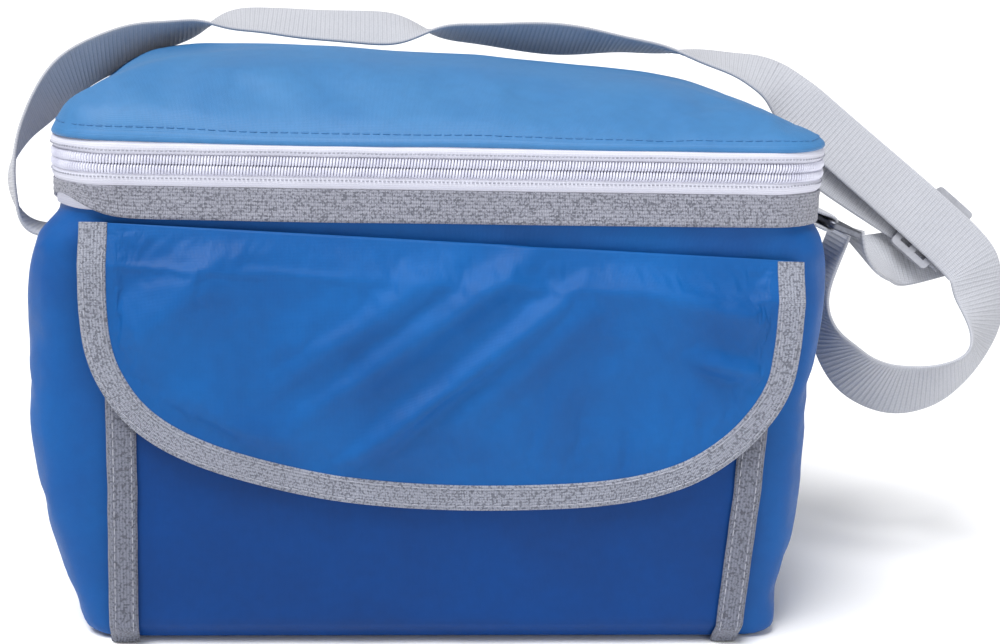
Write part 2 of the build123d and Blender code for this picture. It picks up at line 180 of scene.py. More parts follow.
def run_length(points):
    """Distance along a line of points, starting at 0."""
    steps = np.linalg.norm(np.diff(points, axis=0), axis=1)
    return np.concatenate([[0.0], np.cumsum(steps)])


# %% A mesh from faces and corner UVs
def new_piece(name, points, faces, corner_uv, sharp=60.0):
    """A smooth-shaded mesh object. corner_uv has one (u, v) for each face corner."""
    mesh = bpy.data.meshes.new(name)
    mesh.from_pydata(np.asarray(points, float).tolist(), [], faces)
    layer = mesh.uv_layers.new(name="UVMap")
    layer.data.foreach_set("uv", np.asarray(corner_uv, np.float32).ravel())
    mesh.polygons.foreach_set("use_smooth", [True] * len(mesh.polygons))
    outward(mesh)
    mesh.set_sharp_from_angle(angle=math.radians(sharp))
    made = bpy.data.objects.new(name, mesh)
    bpy.context.collection.objects.link(made)
    return made


def outward(mesh):
    """Turn every face of a closed mesh to look outward."""
    edit = bmesh.new()
    edit.from_mesh(mesh)
    bmesh.ops.recalc_face_normals(edit, faces=edit.faces)
    edit.to_mesh(mesh)
    edit.free()


def grid_corners(rows, columns, start=0):
    """Quads of a grid of points, and the (row, column) of every corner."""
    faces, corners = [], []
    for r in range(rows - 1):
        for c in range(columns - 1):
            square = ((r, c), (r, c + 1), (r + 1, c + 1), (r + 1, c))
            faces.append(tuple(start + i * columns + j for i, j in square))
            corners.extend(square)
    return faces, corners


def sheet_piece(name, points, uv):
    """A sheet through a grid of points, with uv in metres for each point."""
    rows, columns = points.shape[:2]
    faces, corners = grid_corners(rows, columns)
    return new_piece(name, points.reshape(-1, 3), faces, [uv[i, j] for i, j in corners])


def thicken(piece, thickness, side=0.0):
    """Give a sheet real thickness, with closed edges. side -1 is inward, 1 outward."""
    solid = piece.modifiers.new("thickness", "SOLIDIFY")
    solid.thickness = thickness
    solid.offset = side
    solid.use_even_offset = False
    return apply_all(piece)


def apply_all(piece):
    """Keep what the modifiers show as the piece's own mesh."""
    graph = bpy.context.evaluated_depsgraph_get()
    mesh = bpy.data.meshes.new_from_object(piece.evaluated_get(graph))
    piece.modifiers.clear()
    piece.data = mesh
    return piece


# %% A strip carried along a line
def eased(values, reach):
    """Each row averaged with its neighbours, so that a line loses its corners."""
    window = np.hanning(2 * reach + 3)[1:-1]
    window /= window.sum()
    head = 2 * values[0] - values[reach:0:-1]
    tail = 2 * values[-1] - values[-2 : -reach - 2 : -1]
    long = np.vstack([head, values, tail])
    return np.stack([np.convolve(long[:, k], window, "valid") for k in range(3)], 1)


def smooth_line(stations, step, ease=0.0):
    """Points and width directions every step along a smooth line through stations."""
    centres = np.array([place for place, _ in stations], float) * MM
    ways = unit(np.array([way for _, way in stations], float))
    ends = [2 * centres[0] - centres[1]], [2 * centres[-1] - centres[-2]]
    padded_centres = np.concatenate([ends[0], centres, ends[1]])
    line, line_ways = [], []
    for i in range(len(centres) - 1):
        a, b, c, d = padded_centres[i : i + 4]
        for t in np.linspace(0, 1, 24, endpoint=i == len(centres) - 2):
            line.append(
                0.5
                * (
                    2 * b
                    + (c - a) * t
                    + (2 * a - 5 * b + 4 * c - d) * t**2
                    + (3 * b - a - 3 * c + d) * t**3
                )
            )
            turned = t * t * (3 - 2 * t)
            line_ways.append(ways[i] * (1 - turned) + ways[i + 1] * turned)
    line, line_ways = np.array(line), np.array(line_ways)
    length = run_length(line)
    places = np.linspace(0, length[-1], max(int(length[-1] / step), 4) + 1)
    line = np.stack([np.interp(places, length, line[:, k]) for k in range(3)], 1)
    ways = np.stack([np.interp(places, length, line_ways[:, k]) for k in range(3)], 1)
    if ease:
        line, ways = eased(line, int(ease / step)), eased(ways, int(2 * ease / step))
    return line, ways, run_length(line)


def flat_profile(width, thickness, columns):
    """A flat cross-section with round edges, as (across, out) points in order."""
    half, round_edge = width / 2, thickness / 2
    face = np.linspace(-half + round_edge, half - round_edge, columns)
    top = [(x, round_edge) for x in face]
    turn_right = [
        (half - round_edge + round_edge * math.cos(a), round_edge * math.sin(a))
        for a in (math.pi / 4, 0.0, -math.pi / 4)
    ]
    under = [(x, -round_edge) for x in face[::-1]]
    turn_left = [(-x, y) for x, y in turn_right[::-1]]
    return np.array(top + turn_right + under + turn_left)


def strip_piece(name, line, ways, profile, relief=None, closed=False, start=0.0, narrow=None):
    """Carry a closed cross-section along a line. relief(along, across) lifts its faces.
    narrow, one share for each point of the line, makes the strip narrower there."""
    narrow = np.ones(len(line)) if narrow is None else narrow
    if closed:
        runs = unit(np.roll(line, -1, 0) - np.roll(line, 1, 0))
        line, ways = np.vstack([line, line[:1]]), np.vstack([ways, ways[:1]])
        runs, narrow = np.vstack([runs, runs[:1]]), np.append(narrow, narrow[0])
    else:
        runs = unit(np.gradient(line, axis=0))
    ways = unit(ways - runs * np.sum(ways * runs, 1, keepdims=True))
    outs = np.cross(runs, ways)
    length = run_length(line) + start
    across, out = profile[:, 0], profile[:, 1]
    lift = np.zeros((len(line), len(profile)))
    if relief is not None:
        lift = relief(length[:, None], across[None, :]) * np.sign(out)[None, :]
        lift[:, np.abs(out) < np.abs(out).max() * 0.99] *= 0.3
    points = (
        line[:, None]
        + ways[:, None] * (across[None, :] * narrow[:, None])[..., None]
        + outs[:, None] * (out[None, :] + lift)[..., None]
    )
    around = run_length(np.vstack([profile, profile[:1]]))
    rows, columns = len(line), len(profile)
    kept = rows - 1 if closed else rows
    faces, corner_uv = [], []
    for r in range(rows - 1):
        below, above = r * columns, ((r + 1) % kept if closed else r + 1) * columns
        for c in range(columns):
            d = (c + 1) % columns
            faces.append((below + c, below + d, above + d, above + c))
            near, far = around[c], around[c + 1]
            corner_uv += [(length[r], near), (length[r], far)]
            corner_uv += [(length[r + 1], far), (length[r + 1], near)]
    if not closed:
        for r in (0, rows - 1):
            faces.append(tuple(r * columns + c for c in range(columns)))
            corner_uv += [(length[r], around[c]) for c in range(columns)]
    return new_piece(name, points[:kept].reshape(-1, 3), faces, corner_uv)


# %% Stitches and wires
def laid_on(piece, points, lift):
    """Move points to the nearest place on a piece, and off it by lift."""
    tree = BVHTree.FromObject(piece, bpy.context.evaluated_depsgraph_get())
    placed, normals = [], []
    for point in points:
        place, normal, _, _ = tree.find_nearest(Vector(point))
        placed.append(place + normal * lift)
        normals.append(normal)
    return np.array(placed), np.array(normals)


def rods(name, starts, ends, radius, sides=6):
    """Many short round-ended rods in one mesh, such as a row of stitches."""
    starts, ends = np.asarray(starts), np.asarray(ends)
    runs = unit(ends - starts)
    side = unit(np.cross(runs, np.array([0.31, 0.52, 0.8])))
    up = np.cross(runs, side)
    turns = np.linspace(0, 2 * math.pi, sides, endpoint=False)
    circle = (
        side[:, None] * np.cos(turns)[None, :, None]
        + up[:, None] * np.sin(turns)[None, :, None]
    )
    levels = ((0.0, 0.45), (0.14, 1.0), (0.86, 1.0), (1.0, 0.45))
    rings = [
        starts[:, None] * (1 - t) + ends[:, None] * t + circle * radius * wide
        for t, wide in levels
    ]
    points = np.stack(rings, 1).reshape(-1, 3)
    block = len(levels) * sides
    faces, corner_uv = [], []
    for n in range(len(starts)):
        base = n * block
        for r in range(len(levels) - 1):
            for c in range(sides):
                d = (c + 1) % sides
                a, b = base + r * sides, base + (r + 1) * sides
                faces.append((a + c, a + d, b + d, b + c))
                corner_uv += [(r * 0.001, c * 0.0002)] * 4
        for r in (0, len(levels) - 1):
            faces.append(tuple(base + r * sides + c for c in range(sides)))
            corner_uv += [(0.0, 0.0)] * sides
    return new_piece(name, points, faces, corner_uv)


def stitch_row(name, piece, path, pitch=3.4 * MM, stitch=2.5 * MM, radius=0.22 * MM):
    """A row of thread stitches that lie on a piece along a path."""
    length = run_length(path)
    heads = np.arange(pitch / 2, length[-1] - stitch, pitch)
    at = [np.stack([np.interp(heads + s, length, path[:, k]) for k in range(3)], 1)
          for s in (0.0, stitch)]
    starts, _ = laid_on(piece, at[0], radius * 0.5)
    ends, _ = laid_on(piece, at[1], radius * 0.5)
    row = rods(name, starts, ends, radius)
    print(name, "has", len(heads), "stitches")
    return row


# %% [markdown]
# ## Letting cloth settle
# Sewn cloth over padding swells a little and puckers beside its seams. Sculpting that
# by hand is slow. A short cloth run with inside pressure and a touch of spare cloth
# makes it, while the sewn points are held and no point may wander past a cap.

# %% The settling step
def settle(piece, held, pressure, spare, cap, frames=20):
    """Swell a piece as cloth. held is 1 where it is sewn down; cap is the furthest move."""
    before = np.array([v.co for v in piece.data.vertices])
    sewn = piece.vertex_groups.new(name="sewn")
    for index in np.nonzero(held)[0]:
        sewn.add([int(index)], float(held[index]), "REPLACE")
    cloth = piece.modifiers.new("cloth", "CLOTH")
    cloth.settings.quality = 5
    cloth.settings.mass = 0.2
    cloth.settings.vertex_group_mass = "sewn"
    cloth.settings.use_pressure = True
    cloth.settings.uniform_pressure_force = pressure
    cloth.settings.shrink_min = -spare
    cloth.settings.bending_stiffness = 0.15
    cloth.settings.effector_weights.gravity = 0.0
    cloth.point_cache.frame_end = frames
    for number in range(1, frames + 1):
        scene.frame_set(number)
    graph = bpy.context.evaluated_depsgraph_get()
    shown = piece.evaluated_get(graph).to_mesh()
    after = np.array([v.co for v in shown.vertices])
    piece.modifiers.clear()
    scene.frame_set(1)
    move = after - before
    size = np.linalg.norm(move, axis=1, keepdims=True)
    kept = before + move * (cap * np.tanh(size / cap) / np.maximum(size, 1e-9))
    piece.data.vertices.foreach_set("co", kept.ravel())
    piece.data.update()
    print(piece.name, "settled, furthest move", round(float(size.max()) / MM, 2), "mm")
    return piece


def refine(piece):
    """One level of subdivision, applied."""
    finer = piece.modifiers.new("finer", "SUBSURF")
    finer.levels = finer.render_levels = 1
    return apply_all(piece)

# %% [markdown]
# ## Finishes
# Three effects are shared by several finishes, so each is a node group: a plain weave,
# soft clouds of uneven dye, and fine specks. A picture of cloth could be wrapped on
# instead, but nodes stay sharp at any distance and keep the true thread size.

# %% Node helpers
def put(tree, kind, inputs=None, **settings):
    """Add a node, set its settings, and link or set its inputs."""
    made = tree.nodes.new(kind)
    for key, value in settings.items():
        setattr(made, key, value)
    for key, value in (inputs or {}).items():
        if isinstance(value, bpy.types.NodeSocket):
            tree.links.new(value, made.inputs[key])
        else:
            made.inputs[key].default_value = value
    return made


def sums(tree, operation, first, second=0.0, third=0.0):
    """One arithmetic step; gives its output."""
    node = put(tree, "ShaderNodeMath", operation=operation)
    for socket, value in zip(node.inputs, (first, second, third)):
        if isinstance(value, bpy.types.NodeSocket):
            tree.links.new(value, socket)
        else:
            socket.default_value = value
    return node.outputs[0]


def spread(tree, value, low, high, to_low=0.0, to_high=1.0):
    """Stretch a value from one range to another, held at both ends."""
    inputs = {
        "Value": value, "From Min": low, "From Max": high,
        "To Min": to_low, "To Max": to_high,
    }
    return put(tree, "ShaderNodeMapRange", inputs).outputs["Result"]


def mix_colours(tree, share, first, second):
    """Mix two colours, which may be sockets, by a share."""
    node = put(tree, "ShaderNodeMix", data_type="RGBA")
    for socket, value in ((node.inputs[0], share), (node.inputs[6], first), (node.inputs[7], second)):
        if isinstance(value, bpy.types.NodeSocket):
            tree.links.new(value, socket)
        else:
            socket.default_value = value
    return node.outputs[2]


def colour(red, green, blue):
    """A display colour, 0 to 255, as the renderer's own linear colour."""
    shares = [c / 255 for c in (red, green, blue)]
    linear = [s / 12.92 if s <= 0.04045 else ((s + 0.055) / 1.055) ** 2.4 for s in shares]
    return (*linear, 1.0)


def new_group(name, inputs, outputs):
    """An empty node group with named sockets; gives (group, inside inputs, inside outputs)."""
    group = bpy.data.node_groups.new(name, "ShaderNodeTree")
    for title, kind in inputs:
        group.interface.new_socket(title, in_out="INPUT", socket_type=kind)
    for title, kind in outputs:
        group.interface.new_socket(title, in_out="OUTPUT", socket_type=kind)
    inside = group.nodes.new("NodeGroupInput")
    result = group.nodes.new("NodeGroupOutput")
    return group, inside.outputs, result.inputs


# %% The weave group
weave, ask, give = new_group(
    "plain_weave",
    [("Vector", "NodeSocketVector"), ("Warp", "NodeSocketFloat"), ("Weft", "NodeSocketFloat")],
    [("Height", "NodeSocketFloat"), ("Warp over", "NodeSocketFloat")],
)
parts = put(weave, "ShaderNodeSeparateXYZ", {"Vector": ask["Vector"]}).outputs
thread_u = sums(weave, "DIVIDE", parts["X"], ask["Warp"])
thread_v = sums(weave, "DIVIDE", parts["Y"], ask["Weft"])
round_u = sums(weave, "ABSOLUTE", sums(weave, "SINE", sums(weave, "MULTIPLY", thread_u, math.pi)))
round_v = sums(weave, "ABSOLUTE", sums(weave, "SINE", sums(weave, "MULTIPLY", thread_v, math.pi)))
count = sums(weave, "ADD", sums(weave, "FLOOR", thread_u), sums(weave, "FLOOR", thread_v))
over = sums(weave, "ABSOLUTE", sums(weave, "MODULO", count, 2.0))
half_u = sums(weave, "MULTIPLY_ADD", round_u, 0.5, 0.5)
half_v = sums(weave, "MULTIPLY_ADD", round_v, 0.5, 0.5)
warp = sums(weave, "MULTIPLY", sums(weave, "SQRT", round_u), half_v)
weft = sums(weave, "MULTIPLY", sums(weave, "SQRT", round_v), half_u)
lifted = sums(weave, "MULTIPLY", warp, over)
sunk = sums(weave, "MULTIPLY", weft, sums(weave, "SUBTRACT", 1.0, over))
weave.links.new(sums(weave, "ADD", lifted, sunk), give["Height"])
weave.links.new(over, give["Warp over"])

# %% The cloud and speck groups
clouds, ask, give = new_group(
    "uneven_dye",
    [("Vector", "NodeSocketVector"), ("Size", "NodeSocketFloat")],
    [("Cloud", "NodeSocketFloat")],
)
bigger = sums(clouds, "DIVIDE", 1.0, ask["Size"])
cloud = put(clouds, "ShaderNodeTexNoise", {"Vector": ask["Vector"], "Scale": bigger, "Detail": 3.0})
clouds.links.new(spread(clouds, cloud.outputs["Fac"], 0.3, 0.7), give["Cloud"])

specks, ask, give = new_group(
    "fine_specks",
    [("Vector", "NodeSocketVector"), ("Size", "NodeSocketFloat"), ("Share", "NodeSocketFloat")],
    [("Speck", "NodeSocketFloat")],
)
smaller = sums(specks, "DIVIDE", 1.0, ask["Size"])
grain = put(specks, "ShaderNodeTexNoise", {"Vector": ask["Vector"], "Scale": smaller, "Detail": 1.0})
cut = sums(specks, "SUBTRACT", 1.0, ask["Share"])
edge = sums(specks, "ADD", cut, 0.12)
specks.links.new(spread(specks, grain.outputs["Fac"], cut, edge), give["Speck"])


# %% Start a finish
def new_finish(name, roughness=0.5, metal=0.0):
    """A material with its shader; gives (material, tree, shader, UV, object place)."""
    material = bpy.data.materials.new(name)
    material.use_nodes = True
    tree = material.node_tree
    shader = tree.nodes["Principled BSDF"]
    shader.inputs["Roughness"].default_value = roughness
    shader.inputs["Metallic"].default_value = metal
    where = tree.nodes.new("ShaderNodeTexCoord").outputs
    return material, tree, shader, where["UV"], where["Object"]


def use(tree, group, inputs):
    """Place a node group with its own values; gives its outputs."""
    return put(tree, "ShaderNodeGroup", inputs, node_tree=group).outputs


def raise_surface(tree, shader, height, distance, strength=1.0):
    """Feed a height to the shader as bump, in metres."""
    bump = put(tree, "ShaderNodeBump", {"Height": height, "Distance": distance, "Strength": strength})
    tree.links.new(bump.outputs["Normal"], shader.inputs["Normal"])


# %% [markdown]
# ### Coated blue cloth
# The walls, lid, pocket and flap are one plain-woven polyester with a soft coating. Its
# threads are under half a millimetre. Folds catch a broad, slightly greasy highlight,
# so roughness sits near the middle and wanders with the clouds.

# %% Blue cloth
def blue_cloth(name, light, dark, gloss, thread=0.46 * MM):
    """Plain-woven coated cloth between two blues."""
    material, tree, shader, uv, place = new_finish(name)
    yarn = use(tree, weave, {"Vector": uv, "Warp": thread, "Weft": thread})
    dye = use(tree, clouds, {"Vector": place, "Size": 0.035})["Cloud"]
    fine = use(tree, clouds, {"Vector": place, "Size": 0.004})["Cloud"]
    tone = mix_colours(tree, dye, dark, light)
    shade = spread(tree, yarn["Height"], 0.0, 0.9, 0.80, 1.0)
    shade = sums(tree, "MULTIPLY", shade, spread(tree, fine, 0.0, 1.0, 0.95, 1.03))
    black = (0.0, 0.0, 0.0, 1.0)
    tree.links.new(mix_colours(tree, shade, black, tone), shader.inputs["Base Color"])
    tree.links.new(spread(tree, dye, 0.0, 1.0, 0.40, 0.54), shader.inputs["Roughness"])
    shader.inputs["Specular IOR Level"].default_value = gloss
    raise_surface(tree, shader, yarn["Height"], 0.09 * MM, 0.7)
    return material


wall_cloth = blue_cloth("blue_wall_cloth", colour(10, 88, 160), colour(8, 76, 146), 0.2)
flap_cloth = blue_cloth("blue_flap_cloth", colour(4, 90, 162), colour(2, 78, 146), 0.22)
# The lid's copy is painted lighter than the walls' blue: painted light from above and painted sheen on the
# same cloth.
lid_blue_painted_light = blue_cloth("blue_cloth_painted_light", colour(60, 122, 176), colour(54, 116, 172), 0.4)
# The pocket's copy is painted darker than the walls' blue: painted shade on the lower front of the same
# cloth.
pocket_blue_painted_shade = blue_cloth("blue_cloth_painted_shade", colour(3, 62, 130), colour(2, 55, 118), 0.16)

# %% [markdown]
# ### Grey webbing and binding
# The band, the bound edges and the strap are woven in grey and white yarn. Up close the
# band and bindings look speckled: pale floats with dark holes between them. The strap
# has ribs straight across, which are real in its mesh; nodes only add the yarn.

# %% Webbing finishes
def webbing(name, pale, dark, warp, weft, speckle, bump):
    """Coarse woven tape with pale floats, dark holes and a few odd yarns."""
    material, tree, shader, uv, place = new_finish(name, 0.72)
    yarn = use(tree, weave, {"Vector": uv, "Warp": warp, "Weft": weft})
    dye = use(tree, clouds, {"Vector": place, "Size": 0.02})["Cloud"]
    odd = use(tree, specks, {"Vector": place, "Size": 0.0008, "Share": 0.5})["Speck"]
    depth = spread(tree, yarn["Height"], 0.0, 0.85, 0.28, 1.0)
    left_over = sums(tree, "SUBTRACT", 1.0, sums(tree, "MULTIPLY", odd, speckle))
    depth = sums(tree, "MULTIPLY", depth, left_over)
    depth = sums(tree, "MULTIPLY", depth, spread(tree, dye, 0.0, 1.0, 0.88, 1.0))
    tree.links.new(mix_colours(tree, depth, dark, pale), shader.inputs["Base Color"])
    tree.links.new(spread(tree, dye, 0.0, 1.0, 0.64, 0.8), shader.inputs["Roughness"])
    shader.inputs["Sheen Weight"].default_value = 0.2
    raise_surface(tree, shader, yarn["Height"], bump, 0.8)
    return material


band_weave = webbing(
    "grey_band_weave", colour(160, 162, 175), colour(72, 74, 86),
    0.62 * MM, 1.3 * MM, 0.72, 0.3 * MM,
)
binding_weave = webbing(
    "grey_binding", colour(156, 160, 174), colour(70, 73, 86),
    0.62 * MM, 1.15 * MM, 0.72, 0.3 * MM,
)
# The pocket's side bindings get a darker copy of the grey binding: painted shade low on the front, on the
# same tape.
edge_binding_painted_shade = webbing(
    "grey_binding_painted_shade", colour(122, 126, 142), colour(52, 55, 68),
    0.62 * MM, 1.15 * MM, 0.72, 0.3 * MM,
)
strap_weave = webbing(
    "grey_strap_webbing", colour(184, 186, 193), colour(134, 136, 145),
    0.95 * MM, 0.8 * MM, 0.15, 0.08 * MM,
)

# %% [markdown]
# ### Zip tape, coil and thread
# The tape is a fine white twill; the coil is drawn nylon, smoother and a little glossy.

# %% Zip finishes
def plain_finish(name, pale, dark, roughness, grain_size, bump=0.02 * MM, metal=0.0):
    """A smooth moulded, drawn or cast finish with faint grain and uneven tone."""
    material, tree, shader, uv, place = new_finish(name, roughness, metal)
    cloud = use(tree, clouds, {"Vector": place, "Size": grain_size * 8})["Cloud"]
    fine = use(tree, clouds, {"Vector": place, "Size": grain_size})["Cloud"]
    tone = sums(tree, "MULTIPLY_ADD", fine, 0.3, sums(tree, "MULTIPLY", cloud, 0.7))
    tree.links.new(mix_colours(tree, tone, dark, pale), shader.inputs["Base Color"])
    wander = spread(tree, tone, 0.0, 1.0, roughness * 0.85, min(roughness * 1.2, 1.0))
    tree.links.new(wander, shader.inputs["Roughness"])
    raise_surface(tree, shader, fine, bump, 0.6)
    return material


def tape_finish():
    """Fine white twill tape."""
    material, tree, shader, uv, place = new_finish("white_zip_tape", 0.7)
    yarn = use(tree, weave, {"Vector": uv, "Warp": 0.55 * MM, "Weft": 0.7 * MM})
    dye = use(tree, clouds, {"Vector": place, "Size": 0.012})["Cloud"]
    thread_depth = spread(tree, yarn["Height"], 0.1, 0.8, 0.72, 1.0)
    depth = sums(tree, "MULTIPLY", thread_depth, spread(tree, dye, 0.0, 1.0, 0.93, 1.0))
    tone = mix_colours(tree, depth, colour(120, 118, 140), colour(214, 215, 228))
    tree.links.new(tone, shader.inputs["Base Color"])
    raise_surface(tree, shader, yarn["Height"], 0.12 * MM, 0.7)
    return material


zip_tape_finish = tape_finish()
coil_finish = plain_finish(
    "white_zip_coil", colour(226, 227, 240), colour(200, 201, 219),
    0.36, 0.8 * MM,
)
# The blue thread takes the lid's lighter blue, so it carries the same painted top light.
blue_thread = plain_finish("blue_thread", colour(64, 124, 178), colour(52, 108, 162), 0.6, 0.5 * MM)
pale_thread = plain_finish(
    "pale_thread", colour(170, 172, 184), colour(136, 138, 150),
    0.6, 0.5 * MM,
)
ring_finish = plain_finish(
    "ring_metal", colour(128, 131, 140), colour(86, 88, 96),
    0.42, 1.2 * MM, metal=1.0,
)
metal_finish = plain_finish(
    "slider_metal", colour(206, 208, 214), colour(150, 152, 160),
    0.3, 1.2 * MM, metal=1.0,
)
grey_plastic = plain_finish(
    "grey_plastic", colour(166, 168, 176), colour(138, 140, 148),
    0.42, 1.0 * MM,
)
black_hooks = plain_finish(
    "black_hook_loop", colour(44, 45, 50), colour(20, 21, 25),
    0.9, 0.7 * MM, 0.4 * MM,
)

# %% [markdown]
# ### Silver lining
# The lining is a thin metal-coated film. It is bright, but crinkles all over, so it
# breaks reflections into small patches.

# %% Silver film
def silver_film():
    """Metallised film with a fine crinkle and a quilted emboss."""
    material, tree, shader, uv, place = new_finish("silver_liner", 0.34, 0.9)
    crease = put(tree, "ShaderNodeTexVoronoi", {"Vector": place, "Scale": 130.0}, feature="DISTANCE_TO_EDGE")
    fine = use(tree, clouds, {"Vector": place, "Size": 0.006})["Cloud"]
    fold = sums(tree, "ADD", spread(tree, crease.outputs["Distance"], 0.0, 0.25), fine)
    tone = mix_colours(tree, fine, colour(176, 180, 186), colour(214, 217, 221))
    tree.links.new(tone, shader.inputs["Base Color"])
    tree.links.new(spread(tree, fine, 0.0, 1.0, 0.26, 0.44), shader.inputs["Roughness"])
    raise_surface(tree, shader, fold, 0.25 * MM, 0.7)
    return material


silver = silver_film()
print("finishes:", len(bpy.data.materials))


# %% Hand a piece over
def done(piece, material, body, stands_for=()):
    """Give a piece its finish and its body, and hide the hard parts that it stands for. A body that is not a
    name (a bend between two bodies) is not used: the piece's place is only baked in.
    """
    piece.data.materials.clear()
    piece.data.materials.append(material)
    if isinstance(body, str):
        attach(piece, body)
    else:
        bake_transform(piece)
    if stands_for:
        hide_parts(*stands_for)
    return piece


# %% Floor finish
floor_material, tree, shader, uv, place = new_finish("pale_floor", 0.9)
haze = use(tree, clouds, {"Vector": place, "Size": 0.4})["Cloud"]
floor_tone = mix_colours(tree, haze, colour(248, 248, 249), colour(252, 252, 253))
tree.links.new(floor_tone, shader.inputs["Base Color"])
floor.data.materials.append(floor_material)

# %% [markdown]
# ## Body of the bag
# The body is one soft tray: a flat base, then walls that swell between their seams and
# pucker beside them. It could be five flat panels, but a sewn bag has no crisp edges,
# so the walls are one skin carried up round the base's edge.

# %% Trays: a base grid with walls that follow its edge
def plan_grid(left, right, half_y, radius, columns, rows):
    """Points of a rounded rectangle's plan, and each point's distance in from its edge."""
    a, b = np.meshgrid(np.linspace(-1, 1, columns), np.linspace(-1, 1, rows), indexing="ij")
    side = np.where(a < 0, left, right)
    flat_x = np.where(a < 0, a * left, a * right)
    x, y = flat_x, b * half_y
    centre_x = np.where(a < 0, -left + radius, right - radius)
    over_x = np.maximum(np.abs(x) - np.abs(centre_x), 0)
    over_y = np.maximum(np.abs(y) - (half_y - radius), 0)
    corner = (over_x > 0) & (over_y > 0)
    longest = np.maximum(over_x, over_y)
    scale = np.where(corner, longest / np.maximum(np.hypot(over_x, over_y), 1e-9), 1.0)
    x = np.where(corner, centre_x + np.sign(a) * over_x * scale, x)
    y = np.where(corner, np.sign(b) * (half_y - radius + over_y * scale), y)
    edge = np.minimum(side - np.abs(flat_x), half_y - np.abs(b * half_y))
    return x, y, np.where(corner, radius - longest, edge)


def rim_order(columns, rows):
    """Grid places round the edge, starting at the front left."""
    order = [(i, 0) for i in range(columns)]
    order += [(columns - 1, j) for j in range(1, rows)]
    order += [(i, rows - 1) for i in range(columns - 2, -1, -1)]
    order += [(0, j) for j in range(rows - 2, 0, -1)]
    return order


def plan_ring(left, right, half_y, radius, size, z):
    """The closed edge of a rounded rectangle's grid, at height z."""
    x, y, _ = plan_grid(left, right, half_y, radius, *size)
    return np.stack([x, y, x * 0 + z], -1)[tuple(np.array(rim_order(*size)).T)]


def tray_piece(name, base, rings, top=None):
    """Join a base grid, rings that follow its edge, and perhaps a second grid on top."""
    columns, rows = base.shape[:2]
    order = rim_order(columns, rows)
    around = len(order)
    faces, corners = grid_corners(columns, rows)
    corner_uv = [tuple(base[i, j, :2]) for i, j in corners]
    points = [base.reshape(-1, 3), rings.reshape(-1, 3)]
    first = columns * rows
    lower = np.array([i * rows + j for i, j in order])
    levels = [lower] + [first + r * around + np.arange(around) for r in range(len(rings))]
    full = [base[tuple(np.array(order).T)]] + list(rings)
    if top is not None:
        points.append(top.reshape(-1, 3))
        start = first + len(rings) * around
        more, more_corners = grid_corners(columns, rows, start)
        faces += more
        corner_uv += [tuple(top[i, j, :2]) for i, j in more_corners]
        levels.append(start + lower)
        full.append(top[tuple(np.array(order).T)])
    waist = full[len(full) // 2]
    wide = run_length(np.vstack([waist, waist[:1]]))
    rises = [np.linalg.norm(b - a, axis=1).mean() for a, b in zip(full, full[1:])]
    high = np.concatenate([[0], np.cumsum(rises)])
    for r in range(len(levels) - 1):
        below, above = levels[r], levels[r + 1]
        for c in range(around):
            d = (c + 1) % around
            faces.append(tuple(int(k) for k in (below[c], below[d], above[d], above[c])))
            corner_uv += [(wide[c], high[r]), (wide[c + 1], high[r])]
            corner_uv += [(wide[c + 1], high[r + 1]), (wide[c], high[r + 1])]
    return new_piece(name, np.vstack(points), faces, corner_uv)


def outward_of(ring):
    """Flat outward direction at each point of a closed ring."""
    run = np.roll(ring, -1, 0) - np.roll(ring, 1, 0)
    way = np.stack([run[:, 1], -run[:, 0], np.zeros(len(run))], 1)
    return unit(way)


# %% The body's outside
# Each side's reach from the middle at a height, and the corners' radius, all in mm.
left_side = (
    (0, 131), (3, 133.5), (25, 140), (60, 148), (90, 151), (120, 150.5), (140, 149),
    (152, 147), (157.5, 144.5), (160.5, 141.2), (162, 139.9), (180, 139.7),
)
right_side = (
    (0, 133), (3, 135.5), (25, 138), (60, 140.5), (90, 142), (120, 143), (140, 143.6),
    (152, 143.4), (157.5, 142.6), (160.5, 141.2), (162, 139.9), (180, 139.7),
)
corner_sizes = ((0, 10), (20, 13), (120, 15), (152, 17), (162, 24), (200, 24))
half_y = 82.3 * MM
grid_size = (57, 33)


def body_ring(z, tuck=0.0):
    """The body's edge at a height in mm, drawn in by tuck."""
    left = along(z, left_side) * MM - tuck
    right = along(z, right_side) * MM - tuck
    radius = along(z, corner_sizes) * MM
    return plan_ring(left, right, half_y - tuck, radius, grid_size, z * MM)


x, y, inset = plan_grid(128 * MM, 130 * MM, 79.5 * MM, 8 * MM, *grid_size)
base_waves = 0.5 + 0.5 * ripple(x, y, x * 0, 20.0, 3.0)
base_lift = 0.3 * MM + 0.8 * MM * blend_step(inset, 0.0, 0.03) * base_waves
body_base = np.stack([x, y, base_lift], -1)

